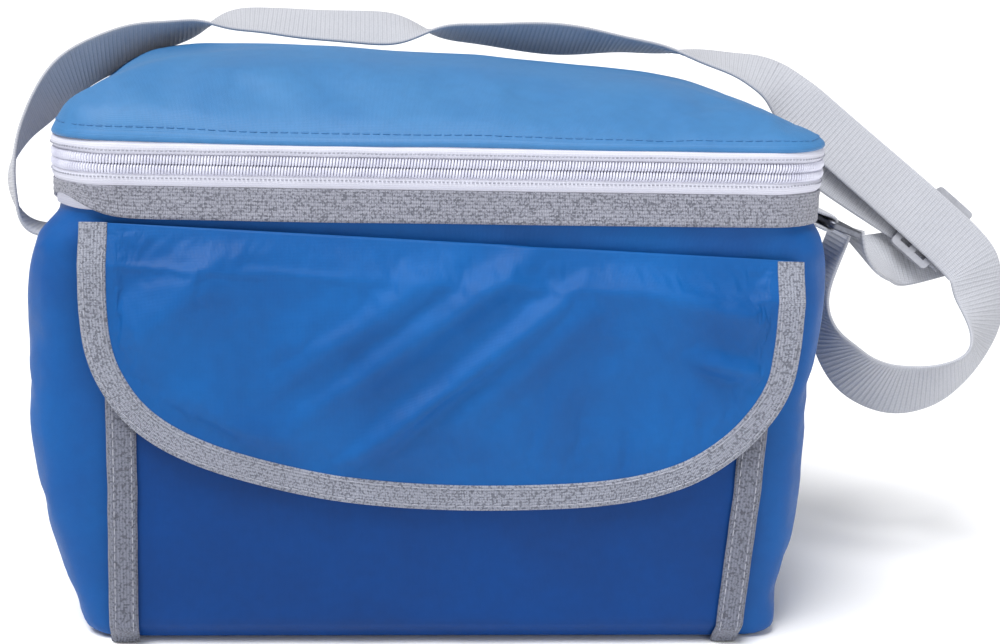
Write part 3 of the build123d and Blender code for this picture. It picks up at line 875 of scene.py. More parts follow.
# %% The walls
seam_height, bulge_front = 162, 0.078
heights = [0.9, 2.4, 4.6, 8, 12, 17, *range(22, 137, 6)]
heights += [141, 146, 150, 153, 156, 159, 162, 166, 171]
tucks = {0.9: 1.2, 2.4: 0.4}
walls = []
for z in heights:
    ring = body_ring(z, tucks.get(z, 0.0) * MM)
    out = outward_of(ring)
    turn = run_length(ring)
    front = blend_step(-ring[:, 1], bulge_front, 0.082)
    free = (1 - front) * float(blend_step(z, 4, 30) * (1 - blend_step(z, 135, 160)))
    belly = 4.0 * MM * free * np.abs(out[:, 1]) * np.cos(ring[:, 0] / 0.28 * math.pi)
    near_seam = math.exp(-((seam_height - z) / 16) ** 2) * (z < seam_height - 1)
    near_seam += 0.9 * math.exp(-(z / 13) ** 2)
    pucker = ripple(turn, turn * 0 + z * 0.0004, turn * 0, 75.0, 1.5) * 1.5 * MM * near_seam
    dents = ripple(*ring.T, 22.0, 7.0) * 2.6 * MM
    dents += ripple(*ring.T, 55.0, 9.0) * 1.0 * MM
    dents *= float(blend_step(z, 2, 20) * (1 - blend_step(z, 140, 160)))
    quiet = 1 - 0.75 * front
    walls.append(ring + out * (belly + (pucker + dents) * quiet)[:, None])
body_shell = tray_piece("body_shell", body_base, np.array(walls))
wall_z = np.array([v.co.z for v in body_shell.data.vertices])
wall_y = np.array([v.co.y for v in body_shell.data.vertices])
sewn_rim, sewn_front = blend_step(wall_z, 0.150, 0.158), blend_step(-wall_y, 0.070, 0.080)
held = np.clip(sewn_rim + (wall_z < 0.006) + sewn_front, 0, 1)
settle(body_shell, held, 1.5, 0.02, 4.0 * MM)
thicken(refine(body_shell), 1.1 * MM, -1.0)
body_sides = ("front", "back", "left", "right", "base")
body_parts = [f"{side}_{layer}" for layer in ("panel", "foam") for side in body_sides]
done(body_shell, wall_cloth, "bag", [*body_parts, "base_board"])

# %% [markdown]
# ## Lid
# The lid is a crowned foam pad in a cloth cover. It is full on the left and slumps to
# the right. Its turned edge hangs a little over the zip tape, and a row of stitches
# runs just above that edge. It is a closed form of its own: a crowned grid on top, a
# short skirt, and a flat grid below.

# %% The lid pad
lid_half_x, lid_half_y, lid_radius = 141.6 * MM, 84.3 * MM, 25 * MM
lid_size = (65, 39)
# The crown's height against the distance in from the edge, and how full it is against x.
crown = ((0, 0), (1.5, 3.6), (4, 6.6), (8, 9.6), (16, 13.6), (28, 18), (46, 21.6), (64, 23.4), (90, 24.2))
fullness = ((-140, 1.12), (-100, 1.04), (-50, 1.0), (20, 0.96), (80, 0.70), (120, 0.52), (140, 0.42))

x, y, inset = plan_grid(lid_half_x, lid_half_x, lid_half_y, lid_radius, *lid_size)
rise = along(inset / MM, crown) * along(x / MM, fullness) * MM
soft = blend_step(inset, 0.004, 0.03)
rise += soft * (ripple(x, y, x * 0, 14.0, 4.0) * 1.6 + ripple(x, y, x * 0, 38.0, 5.0) * 0.5) * MM
slump = 0.9 * np.exp(-((x / MM - 20) / 60) ** 2)
edge_wave = (ripple(x, y, x * 0, 17.0, 8.0) * 0.9 - slump) * MM
lid_top = np.stack([x, y, 192.0 * MM + edge_wave + rise], -1)

skirt = []
for out, z in ((0.5, 191.3), (0.6, 190.3), (0.2, 189.6), (-0.9, 189.9), (-1.6, 191.9)):
    reach_x, reach_y = lid_half_x + out * MM, lid_half_y + out * MM
    level = z * MM + edge_wave * (z < 191.5)
    skirt.append(plan_ring(reach_x, reach_x, reach_y, lid_radius, lid_size, level))
under_x, under_y = lid_half_x - 5 * MM, lid_half_y - 5 * MM
gx, gy, _ = plan_grid(under_x, under_x, under_y, lid_radius, *lid_size)
lid_under = np.stack([gx, gy, gx * 0 + 192.0 * MM], -1)
lid_pad = tray_piece("lid_pad", lid_top, np.array(skirt), lid_under)
lid_z = np.array([v.co.z for v in lid_pad.data.vertices])
settle(lid_pad, 1 - blend_step(lid_z, 0.1925, 0.197), 1.2, 0.015, 2.0 * MM)
refine(lid_pad)
# The cover takes the lighter blue, which is painted top light.
done(lid_pad, lid_blue_painted_light, "lid", ["lid_cover", "lid_foam"])

# %% Lid stitches and lid lining
ring = plan_ring(lid_half_x, lid_half_x, lid_half_y, lid_radius, lid_size, 195.6 * MM)
closed_ring = np.vstack([ring, ring[:1]])
lid_stitches = stitch_row("lid_stitches", lid_pad, closed_ring, 3.6 * MM, 2.7 * MM, 0.24 * MM)
done(lid_stitches, blue_thread, "lid")

gx, gy, inset = plan_grid(138.6 * MM, 138.6 * MM, 81.2 * MM, 24 * MM, *grid_size)
quilt = np.abs(np.sin(gx / 0.035 * math.pi / 2)) * np.abs(np.sin(gy / 0.035 * math.pi / 2))
dip = 0.9 * MM * blend_step(inset, 0.002, 0.012) * np.sqrt(quilt)
dip += 0.35 * MM * ripple(gx, gy, gx * 0, 90.0, 2.0) * blend_step(inset, 0.002, 0.01)
lining = sheet_piece("lid_lining", np.stack([gx, gy, 191.6 * MM - dip], -1), np.stack([gx, gy], -1))
thicken(lining, 0.4 * MM, 0.0)
done(lining, silver, "lid", ["lid_liner"])

# %% [markdown]
# ## Zip
# A coil zip closes the front and both sides. Each half is white tape with a nylon coil
# sewn on its edge. The coil is a true spiral here, one turn for each tooth, because at
# this scale the teeth are what makes it read as a zip.

# %% Zip tapes
zip_back = 58.3 * MM
tape_back = 63.4 * MM


def zip_path(outset, z, step=2.0 * MM, back=zip_back):
    """A line round the front and sides at a height, from the left rear to the right rear."""
    half_x, half_depth = 140 * MM + outset, 82.5 * MM + outset
    radius = 24 * MM + outset
    side_rows = np.linspace(back, -58.5 * MM, round(0.117 / step), endpoint=False)
    front_rows = np.linspace(-116 * MM, 116 * MM, round(0.232 / step))
    left = [(-half_x, y) for y in side_rows]
    turns = np.linspace(0, math.pi / 2, 20)
    middle_x, middle_y = -half_x + radius, -half_depth + radius
    corner = [(middle_x - radius * math.cos(t), middle_y - radius * math.sin(t)) for t in turns]
    front = [(x, -half_depth) for x in front_rows[1:-1]]
    other = [(-x, y) for x, y in corner[::-1]]
    right_run = [(half_x, y) for y in side_rows[::-1]]
    flat = np.array(left + corner + front + other + right_run)
    return np.column_stack([flat, np.full(len(flat), z)])


def tape_piece(name, levels):
    """A tape through (height, outset) levels in mm, bunched a little at the front corners."""
    rows = []
    for z, outset in levels:
        path = zip_path(outset * MM, z * MM, back=tape_back)
        length = run_length(path)
        bunch = np.exp(-((np.abs(path[:, 0]) / MM - 128) / 13) ** 2) * (path[:, 1] < -0.05)
        wave = ripple(length, length * 0 + z * MM * 3, length * 0, 60.0, 6.0)
        path[:, 2] += wave * (0.25 + 0.7 * bunch) * MM
        rows.append(path)
    points = np.array(rows)
    u = np.array([run_length(r) for r in rows])
    v = np.array([[z * MM] * points.shape[1] for z, _ in levels])
    return thicken(sheet_piece(name, points, np.stack([u, v], -1)), 0.7 * MM, 0.0)


lower_levels = (
    (165, 0.5), (170, 0.5), (173.6, 0.6), (174.6, 1.4), (175.8, 2.0), (177.0, 2.0),
    (178.0, 1.5), (179.0, 0.6), (180.2, 0.0), (181.8, 0.0),
)
upper_levels = (
    (182.1, 0.0), (183.6, 0.0), (184.9, 0.6), (185.9, 1.5), (186.9, 2.1), (188.2, 2.2),
    (189.3, 1.6), (190.0, 0.7), (191.7, 0.3),
)
body_tape = tape_piece("body_zip_tape_soft", lower_levels)
lid_tape = tape_piece("lid_zip_tape_soft", upper_levels)
done(body_tape, zip_tape_finish, "bag", ["body_zip_tape"])
done(lid_tape, zip_tape_finish, "lid", ["lid_zip_tape"])


# %% Zip coils
def coil_piece(name, z, phase):
    """A nylon spiral along the zip, one turn for each tooth."""
    path = zip_path(1.3 * MM, z * MM, 1.0 * MM)
    length = run_length(path)
    pitch, sides, turns_each = 1.1 * MM, 5, 9
    half_wide, half_high, radius = 1.05 * MM, 1.5 * MM, 0.47 * MM
    places = np.arange(0, length[-1], pitch / turns_each)
    centre = np.stack([np.interp(places, length, path[:, k]) for k in range(3)], 1)
    run_x, run_y = np.gradient(centre[:, 0]), np.gradient(centre[:, 1])
    out = unit(np.column_stack([run_y, -run_x, run_x * 0]))
    spin = places / pitch * 2 * math.pi + phase
    wire = centre + out * (half_wide * np.cos(spin))[:, None]
    wire[:, 2] += half_high * np.sin(spin)
    run = unit(np.gradient(wire, axis=0))
    side = unit(np.cross(run, out + 0.01))
    up = np.cross(run, side)
    circle = np.linspace(0, 2 * math.pi, sides, endpoint=False)
    turned_side = side[:, None] * np.cos(circle)[None, :, None]
    turned_up = up[:, None] * np.sin(circle)[None, :, None]
    points = wire[:, None] + radius * (turned_side + turned_up)
    uv = np.stack(np.meshgrid(places, circle * radius, indexing="ij"), -1)
    faces, corner_uv = [], []
    for r in range(len(wire) - 1):
        for c in range(sides):
            d = (c + 1) % sides
            faces.append((r * sides + c, r * sides + d, (r + 1) * sides + d, (r + 1) * sides + c))
            corner_uv += [uv[r, c], uv[r, d], uv[r + 1, d], uv[r + 1, c]]
    for r in (0, len(wire) - 1):
        faces.append(tuple(r * sides + c for c in range(sides)))
        corner_uv += [uv[r, c] for c in range(sides)]
    return new_piece(name, points.reshape(-1, 3), faces, corner_uv)


body_coil = coil_piece("body_coil_teeth", 180.15, 0.0)
lid_coil = coil_piece("lid_coil_teeth", 183.55, math.pi)
done(body_coil, coil_finish, "bag", ["body_zip_coil"])
done(lid_coil, coil_finish, "lid", ["lid_zip_coil"])
for name, z, body, host in (
    ("body_coil_stitches", 177.4, "bag", body_tape),
    ("lid_coil_stitches", 186.6, "lid", lid_tape),
):
    row = stitch_row(name, host, zip_path(3.0 * MM, z * MM), 1.5 * MM, 0.9 * MM, 0.3 * MM)
    done(row, pale_thread, body)

# %% [markdown]
# ## Grey band
# A woven band covers the seam under the zip all the way round. It is a flat strip
# carried round the bag. Its lower edge curls up at the front left corner, where the
# tape was pulled while it was sewn.

# %% The band
band_middle = 168.0 * MM
ring = plan_ring(141.4 * MM, 141.4 * MM, 83.9 * MM, 25 * MM, (120, 70), band_middle)
turn = run_length(ring)
ring[:, 2] += 0.45 * MM * ripple(turn, turn * 0, turn * 0, 14.0, 11.0)
corner_lift = np.exp(-(((ring[:, 0] + 0.137) / 0.015) ** 2) - ((ring[:, 1] + 0.074) / 0.020) ** 2)
ring[:, 2] += 3.9 * MM * corner_lift


def slanted_ribs(length, across):
    """Small slanted floats of a herringbone band."""
    slant = np.abs(across) / (2.4 * MM) * math.pi
    return 0.10 * MM * np.sin(length / (2.2 * MM) * 2 * math.pi + slant)


band = strip_piece(
    "band", ring, np.tile([0.0, 0.0, 1.0], (len(ring), 1)), flat_profile(12 * MM, 1.2 * MM, 11),
    slanted_ribs, closed=True, narrow=1 - 0.62 * corner_lift,
)
done(band, band_weave, "bag", ["grey_band"])

# %% [markdown]
# ## Rear hinge
# Behind the zip's ends a strip of the wall's cloth joins the lid to the back and runs
# round both rear corners. A rigid strip would tear away from one of them when the lid
# opens.

# %% Rear hinge cloth
corner_turns = np.linspace(math.radians(7), math.pi / 2, 16)
corner = [(140.3 - 24 + 24 * math.cos(t), 59.0 + 24 * math.sin(t)) for t in corner_turns]
half_line = corner + [(x, 83.0) for x in np.linspace(112, 4, 28)]
hinge_plan = np.array(half_line + [(-x, y) for x, y in half_line[::-1]]) * MM
hinge_out = outward_of(np.column_stack([hinge_plan, hinge_plan[:, 0] * 0]))[:, :2]
hinge_out[[0, -1]] = hinge_out[[1, -2]]
hinge_away = np.sign(np.sum(hinge_out * hinge_plan, 1, keepdims=True))
hinge_run = run_length(hinge_plan)
hinge_rows = []
hinge_foot, hinge_tall, hinge_levels = 165, 26.7, 20
for z in np.linspace(hinge_foot, hinge_foot + hinge_tall, hinge_levels):
    bulge = 0.8 * math.sin((z - hinge_foot) / hinge_tall * math.pi) * MM
    crease = ripple(hinge_run, hinge_run * 0 + z * MM * 2, hinge_run * 0, 50.0, 51.0) * 0.4 * MM
    place = hinge_plan + hinge_out * hinge_away * (bulge + crease * (172 < z < 189))[:, None]
    hinge_rows.append(np.column_stack([place, np.full(len(place), z * MM)]))
hinge_points = np.array(hinge_rows)
hinge_uv = np.stack([np.tile(hinge_run, (hinge_levels, 1)), hinge_points[..., 2]], -1)
rear_hinge = sheet_piece("rear_hinge_cloth", hinge_points, hinge_uv)
thicken(rear_hinge, 0.8 * MM, 0.0)
hinge_bend = ("bag", "lid", (0, 0.083, 0.1775), (0, 0.083, 0.1865))
done(rear_hinge, wall_cloth, hinge_bend, ["rear_hinge_strip"])
print("rear hinge cloth", round(hinge_run[-1] / MM), "mm round the back")

# %% [markdown]
# ## Lining
# The inside is one welded tub of silver film with a lip that is sewn under the zip. It
# follows the walls loosely, so it gets its own small bulges and creases.

# %% The lining tub
def lining_ring(z, tuck=0.0):
    """The lining's edge at a height in mm."""
    half_x = (123.6 + (132.0 - 123.6) * min(z, 174) / 174 - tuck) * MM
    return plan_ring(half_x, half_x, (74.5 - tuck) * MM, 17 * MM, grid_size, z * MM)


gx, gy, inset = plan_grid(121.5 * MM, 121.5 * MM, 72.2 * MM, 17 * MM, *grid_size)
creases = ripple(gx, gy, gx * 0, 60.0, 1.0) * 0.5 * MM
creases += ripple(gx, gy, gx * 0, 24.0, 2.0) * 0.8 * MM
tub_floor = np.stack([gx, gy, 9.4 * MM + np.abs(creases) * blend_step(inset, 0, 0.01)], -1)
tub_walls = []
for z in [9.6, 11, 14, 19, 26, *range(34, 135, 10), 142, 150, 158, 164, 169, 172, 173.8]:
    ring = lining_ring(z, {9.6: 0.6, 11: 0.15}.get(z, 0.0))
    out = outward_of(ring)
    crease = ripple(*ring.T, 26.0, 3.0) * 1.4 + ripple(*ring.T, 70.0, 4.0) * 0.5
    free = float(blend_step(z, 11, 24) * (1 - blend_step(z, 155, 172)))
    tub_walls.append(ring - out * (np.abs(crease) * free * MM)[:, None])
lip = ((133.5, 76.2, 18.5, 174.6), (136, 78.6, 21, 174.7), (138.7, 81.2, 23.4, 174.5))
for half_x, half_depth, radius, z in np.array(lip) * MM:
    tub_walls.append(plan_ring(half_x, half_x, half_depth, radius, grid_size, z))
lining_tub = tray_piece("lining_tub", tub_floor, np.array(tub_walls))
thicken(lining_tub, 0.5 * MM, 0.0)
done(lining_tub, silver, "bag", ["inner_liner"])

# %% [markdown]
# ## Front pocket
# The pocket is one flat panel on the front wall. Each side edge is closed in a folded
# binding that runs down to the base, and the mouth has a turned hem.

# %% Pocket panel and hem
def strip_x(side, z):
    """Outer and inner x of a side binding at a height, in mm."""
    if side == "left":
        return -121.8 + 0.8 * math.sin(z / 60), -111.4 + 0.8 * math.sin(z / 60)
    lean = np.interp(z, (0, 60, 139), (118.0, 121.0, 123.0))
    return lean, lean - 10.2


def pocket_y(x, z):
    """How far forward the pocket panel stands, in metres."""
    belly = np.cos(np.clip(x / 0.114, -1, 1) * math.pi / 2) * np.sin(np.clip(z / 0.139, 0, 1) * math.pi)
    stand = 87.6 * MM + 1.2 * MM * belly
    stand += 0.55 * MM * ripple(x, x * 0, z, 26.0, 21.0) + 0.3 * MM * ripple(x, x * 0, z, 60.0, 22.0)
    foot = 1 - blend_step(z, 0.002, 0.010)
    return -(stand * (1 - foot) + 83.2 * MM * foot)


rows = np.concatenate([[2.2, 3.2, 4.6, 6.4, 8.8], np.linspace(12, 139, 52)]) * MM
pocket_points = []
for z in rows:
    inner_left, inner_right = strip_x("left", z / MM)[1] - 3, strip_x("right", z / MM)[1] + 3
    x = np.linspace(inner_left, inner_right, 90) * MM
    pocket_points.append(np.stack([x, pocket_y(x, x * 0 + z), x * 0 + z], -1))
pocket_points = np.array(pocket_points)
pocket = sheet_piece("pocket_front", pocket_points, pocket_points[..., [0, 2]])
thicken(pocket, 0.9 * MM, 0.0)
# The panel's darker blue is painted shade.
done(pocket, pocket_blue_painted_shade, "bag", ["pocket_panel"])

hem_rows = np.linspace(127.5, 139.6, 8) * MM
hem_z, hem_x = np.meshgrid(hem_rows, np.linspace(-0.112, 0.113, 90), indexing="ij")
hem_points = np.stack([hem_x, pocket_y(hem_x, hem_z) - 0.9 * MM, hem_z], -1)
hem = sheet_piece("pocket_mouth_hem", hem_points, hem_points[..., [0, 2]])
thicken(hem, 0.9 * MM, 0.0)
done(hem, pocket_blue_painted_shade, "bag", ["pocket_hem"])
hem_line = np.array([(x, -0.09, 0.1290) for x in np.linspace(-0.110, 0.110, 60)])
done(stitch_row("hem_stitches", hem, hem_line), blue_thread, "bag")


# %% Side bindings
def side_binding(name, side):
    """A folded binding down one side of the pocket, from mouth to base."""
    points = []
    for z in np.linspace(0.4, 139.5, 140):
        outer, inner = strip_x(side, z)
        inward = 1 if inner > outer else -1
        foot = float(1 - blend_step(z, 1.0, 9.0))
        face = -89.3 + 4.6 * foot
        wobble = 0.25 * noise.noise((z / 14, 5.0, 0.0))
        section = (
            (outer + wobble, -82.4), (outer + wobble, -84.6 + foot), (outer + wobble, face + 1.6),
            (outer + inward * 0.5 + wobble, face + 0.5), (outer + inward * 1.6 + wobble, face),
            (outer + inward * 4.0, face - 0.2), (outer + inward * 7.0, face - 0.2),
            (inner - inward * 1.2 + wobble, face), (inner + wobble, face + 0.5),
        )
        points.append([(x * MM, y * MM, z * MM) for x, y in section])
    points = np.array(points)
    across = np.array([run_length(row) for row in points])
    uv = np.stack([points[..., 2], across], -1)
    return thicken(sheet_piece(name, points, uv), 1.0 * MM, 0.0)


for side in ("left", "right"):
    binding = side_binding(f"pocket_edge_{side}", side)
    done(binding, edge_binding_painted_shade, "bag", [f"pocket_{side}_binding"])
    for tag, share in (("outer", 0.2), ("inner", 0.86)):
        line = []
        for z in np.linspace(3, 137, 60):
            outer, inner = strip_x(side, z)
            line.append(((outer + (inner - outer) * share) * MM, -0.0915, z * MM))
        row = stitch_row(f"pocket_edge_{side}_{tag}_stitches", binding, np.array(line))
        done(row, pale_thread, "bag")

# %% [markdown]
# ## Flap
# The flap is a single cloth with a round lower edge, bound in the same grey tape. It
# hangs from a seam under the band and is pushed forward by what the pocket holds. Long
# slanting folds run from the top right down to the left, because its cloth was sewn in
# a little askew. The folds are listed, and a short cloth run adds the small ones.

# %% Flap outline
flap_turn = math.tan(math.radians(2.5))


def seam_z(x):
    """Height of the flap's top seam at x, both in metres."""
    return 0.1558 - x * flap_turn


flap_outline = (
    (-129.3, 161.2), (-129.4, 145), (-129.2, 130), (-127.6, 116), (-123.5, 104),
    (-115.5, 91.5), (-104, 81.5), (-88, 73.2), (-68, 66.6), (-44, 61.0), (-20, 57.9),
    (8, 56.4), (36, 56.6), (60, 58.2), (80, 61.8), (97, 68.2), (112, 79), (122.5, 91.5),
    (128.4, 104), (130.4, 118), (130.8, 134), (131.0, 149.9),
)
edge_stations = [((x, 0, z), (0, 1, 0)) for x, z in flap_outline]
edge_line, _, edge_length = smooth_line(edge_stations, 1.5 * MM)
edge_run = unit(np.gradient(edge_line, axis=0))
edge_in = np.stack([-edge_run[:, 2], edge_run[:, 1] * 0, edge_run[:, 0]], 1)
print("flap edge", round(edge_length[-1] / MM), "mm long")

# Long folds: (x, z) from and to, width and height, all in mm.
flap_folds = (
    (38, 156, -50, 92, 5.5, 4.0), (48, 140, -40, 70, 4.5, 5.2),
    (62, 141, -6, 80, 6.5, 3.2), (6, 151, -66, 100, 6.0, 3.0),
    (-78, 148, -120, 112, 9.0, 4.2), (124, 128, 60, 142, 7.0, 3.8),
    (124, 108, 88, 115, 4.0, 3.6), (78, 120, 14, 78, 9.0, 2.2),
    (-96, 104, -58, 80, 8.0, 2.0),
)


def flap_y(x, z):
    """How far forward the flap stands at points x, z, in metres (a negative y)."""
    below = (seam_z(x) - z) / MM
    depths = (0, 4, 9, 14, 30, 60, 110)
    stand = np.interp(below, depths, (85.0, 86.2, 88.6, 91.3, 92.2, 92.4, 92.2))
    for x0, z0, x1, z1, wide, high in flap_folds:
        run = np.array([x1 - x0, z1 - z0], float)
        size = math.hypot(*run)
        run /= size
        from_x, from_z = x / MM - x0, z / MM - z0
        travel = (from_x * run[0] + from_z * run[1]) / size
        off = from_x * run[1] - from_z * run[0]
        fade = blend_step(travel, -0.12, 0.25) * (1 - blend_step(travel, 0.65, 1.12))
        stand = stand + high * fade * np.exp(-((off / wide) ** 2))
    quiet = blend_step(below, 6, 20)
    broad, small = ripple(x, x * 0, z, 24.0, 31.0), ripple(x, x * 0, z, 60.0, 32.0)
    stand = stand + quiet * (0.9 * broad + 0.4 * small)
    nearest = np.interp(below, (0, 9, 14, 20), (84.9, 88.4, 91.0, 91.2))
    return -np.maximum(stand, nearest) * MM


def edge_y(x, z):
    """The bound edge stays flatter than the cloth: its own y, in metres."""
    below = (seam_z(x) - z) / MM
    stand = np.interp(below, (0, 4, 9, 14, 30, 110), (85.4, 86.7, 89.2, 91.6, 92.1, 92.3))
    return -(stand + 0.5 * blend_step(below, 5, 18) * ripple(x, x * 0, z, 16.0, 41.0)) * MM


def gap_to_edge(x, z, edge):
    """Distance from each point x, z to the nearest point of the flap's edge."""
    return np.hypot(x[:, None] - edge[None, :, 0], z[:, None] - edge[None, :, 2]).min(1)


# %% Flap cloth
inner_edge = edge_line + edge_in * 4.0 * MM
count, depth = len(inner_edge), 46
side_share = edge_length / edge_length[-1]
top_x = np.interp(side_share, (0, 0.16, 0.84, 1), (-0.1252, -0.105, 0.108, 0.1270))
flap_points = np.zeros((count, depth, 3))
for k, share in enumerate(np.linspace(0, 1, depth)):
    x = top_x * (1 - share) + inner_edge[:, 0] * share
    z = seam_z(top_x) * (1 - share) + inner_edge[:, 2] * share
    z = np.minimum(z, seam_z(x))
    cloth_y = flap_y(x, z)
    hem_y = edge_y(x, z)
    near = 1 - blend_step(gap_to_edge(x, z, edge_line), 0.008, 0.020)
    flap_points[:, k] = np.stack([x, cloth_y * (1 - near) + hem_y * near, z], -1)
flap_cloth_piece = sheet_piece("flap_cloth", flap_points, flap_points[..., [0, 2]])
shares = np.tile(np.linspace(0, 1, depth), count)
cloth_x, cloth_z = flap_points[..., 0].ravel(), flap_points[..., 2].ravel()
gap = gap_to_edge(cloth_x, cloth_z, edge_line[::3])
sewn_edge, sewn_top = 1 - blend_step(gap, 0.009, 0.015), 1 - blend_step(shares, 0.02, 0.08)
held = np.clip(sewn_edge + sewn_top, 0, 1)
settle(flap_cloth_piece, held, -0.15, 0.02, 1.6 * MM)
thicken(refine(flap_cloth_piece), 0.9 * MM, 0.0)
done(flap_cloth_piece, flap_cloth, "flap", ["flap_panel"])


# %% Flap binding
def binding_ribs(length, across):
    """The folded tape's own small floats."""
    floats = np.sin(length / (1.3 * MM) * math.pi)
    return 0.07 * MM * floats * np.cos(across / (1.2 * MM) * math.pi)


binding_line = edge_line + edge_in * 5.0 * MM
binding_line[:, 1] = edge_y(binding_line[:, 0], binding_line[:, 2])
binding_line[:, 2] = np.minimum(binding_line[:, 2], seam_z(binding_line[:, 0]))
flap_edge_piece = strip_piece(
    "flap_edge", binding_line, edge_in, flat_profile(10.2 * MM, 2.3 * MM, 9), binding_ribs,
)
done(flap_edge_piece, binding_weave, "flap", ["flap_binding"])
for tag, inset in (("outer", 2.0), ("inner", 8.6)):
    line = edge_line + edge_in * inset * MM
    line[:, 1] = -0.0960
    line[:, 2] = np.minimum(line[:, 2], seam_z(line[:, 0]) - 0.001)
    row = stitch_row(f"flap_edge_{tag}_stitches", flap_edge_piece, line[3:-3])
    done(row, pale_thread, "flap")


# %% [markdown]
# ## Hook and loop patches
# One patch is sewn on the pocket and one inside the flap. The pile is a lot of tiny
# stalks; a bed of short rods is close enough and stays light.

# %% Patches
def pile_patch(name, y_back, toward, seed):
    """A patch with a bed of short stalks; toward is -1 for stalks that point forward."""
    random = np.random.default_rng(seed)
    across, up = np.linspace(-34.6, 34.6, 54), np.linspace(73.4, 94.6, 18)
    gx, gz = np.meshgrid(across, up, indexing="ij")
    gx = gx.ravel() + random.uniform(-0.35, 0.35, gx.size)
    gz = gz.ravel() + random.uniform(-0.35, 0.35, gz.size)
    foot = np.stack([gx, gx * 0 + y_back + toward * 0.35, gz], 1) * MM
    lean_x = random.uniform(-0.3, 0.3, gx.size)
    lean_z = random.uniform(-0.3, 0.3, gx.size)
    lean = np.stack([lean_x, gx * 0 + toward * 0.75, lean_z], 1) * MM
    stalks = rods(name, foot, foot + lean, 0.24 * MM, 5)
    bed_x, bed_z = np.meshgrid(
        np.linspace(-0.035, 0.035, 24), np.linspace(0.073, 0.095, 9), indexing="ij"
    )
    bed_points = np.stack([bed_x, bed_x * 0 + (y_back + toward * 0.2) * MM, bed_z], -1)
    bed = sheet_piece(name + "_bed", bed_points, bed_points[..., [0, 2]])
    thicken(bed, 0.4 * MM, 0.0)
    return stalks, bed


for node_name, body, y_back, toward, seed in (
    ("hook_patch", "bag", -89.6, -1, 5), ("loop_patch", "flap", -91.0, 1, 6),
):
    stalks, bed = pile_patch(node_name + "_pile", y_back, toward, seed)
    done(bed, black_hooks, body, [node_name])
    done(stalks, black_hooks, body)

# %% [markdown]
# ## Shoulder strap
# The strap is one length of ribbed webbing, sewn in under the band on the left. It
# stands out in a small loop, crosses the lid with a twist, swings out on the right,
# passes the slider, turns back in a big loop, and ends at the ring. It is cut into
# pieces only where the lid's hinge needs it. Every rib is real.

# %% Strap stations
strap_stations = (
    ((-141.7, 0, 161.8), (0, 1, 0)), ((-142.0, 0, 153), (0, 1, 0)),
    ((-146, 0, 146), (0, 1, 0)), ((-153, 0, 142.5), (0, 1, 0)),
    ((-162, 0, 144), (-0.1, 1, 0)), ((-168, 1, 152), (-0.3, 1, 0)),
    ((-170, 3, 166), (-0.3, 1, 0)), ((-166.5, 8, 179), (0.05, 1, 0)),
    ((-158.5, 15, 191.5), (0.35, 0.9, -0.2)), ((-147, 25, 204.5), (0.4, 0.8, -0.45)),
    ((-127, 37, 214.5), (0.3, 0.8, -0.55)), ((-103, 45, 221), (0.1, 0.9, -0.35)),
    ((-80, 48, 226), (0, 1, 0.35)), ((-48, 48, 224.5), (0, 1, 0.5)),
    ((-17, 48, 223.5), (0, 1, 0.62)), ((14, 48, 222.5), (0, 1, -0.35)),
    ((56, 48, 220.5), (0, 0.85, -0.6)), ((95, 47, 218), (0.1, 1, -0.25)),
    ((128, 43, 213), (0.2, 1, 0.25)), ((150, 38, 206), (0.4, 0.7, 0.5)),
    ((169, 32, 189), (0.5, 0.3, 0.8)), ((229, 10, 138), (0.6, 0.2, 0.8)),
    ((238, 6, 122), (0.8, 0.3, 0.5)), ((241, 2, 106), (0.8, 0.6, 0.2)),
    ((236, -2, 91), (0.4, 0.6, -0.4)), ((222, -4, 81), (0.1, 0.5, -0.9)),
    ((204, -4, 78), (0, 0.3, -1)), ((188, -3, 83), (-0.3, 0.5, -0.8)),
    ((177, -1, 94), (-0.4, 0.8, -0.4)), ((170, 0, 108), (0, 1, 0)),
    ((167, 0, 122), (0, 1, 0)), ((173.6, 0, 146.3), (0, 1, 0)),
)
rib_step = 0.475 * MM  # four points to each rib
strap_line, strap_ways, strap_length = smooth_line(strap_stations, rib_step, 7 * MM)
print("strap, one layer:", round(strap_length[-1] / MM), "mm")
rib_pitch = 1.9 * MM


def strap_ribs(length, across):
    """Ribs straight across the webbing, with flat selvedges."""
    rib = np.sin(length / rib_pitch * 2 * math.pi)
    selvedge = 1 - blend_step(np.abs(across), 0.0106, 0.0118)
    return 0.17 * MM * rib * selvedge


strap_section = flat_profile(25 * MM, 1.5 * MM, 13)


def nearest_place(place):
    """Where along the strap's line a point in mm lies."""
    return int(np.argmin(np.linalg.norm(strap_line - np.array(place) * MM, axis=1)))


cut_places = ((-170, 3, 166), (-147, 25, 204.5), (150, 38, 206), (211, 16.6, 153.3))
cuts = [0] + [nearest_place(place) for place in cut_places]
cuts.append(len(strap_line) - 1)
strap_pieces = []
for name, first, last in zip(("anchor", "left", "over_lid", "right", "loop"), cuts, cuts[1:]):
    part_of = slice(first, last + 1)
    strap_pieces.append(strip_piece(
        f"strap_{name}", strap_line[part_of], strap_ways[part_of], strap_section, strap_ribs,
        start=strap_length[first],
    ))


def between(first, last, share):
    """A point between two places on the strap's line."""
    return tuple(strap_line[first] * (1 - share) + strap_line[last] * share)


left_bend = ("bag", "lid", between(cuts[1], cuts[2], 0.2), between(cuts[1], cuts[2], 0.8))
right_bend = ("lid", "bag", between(cuts[3], cuts[4], 0.15), between(cuts[3], cuts[4], 0.85))
anchor, left, over_lid, right_run, loop = strap_pieces
done(anchor, strap_weave, "bag", ["shoulder_strap"])
done(left, strap_weave, left_bend)
done(over_lid, strap_weave, "lid")
done(right_run, strap_weave, right_bend)
done(loop, strap_weave, "bag")

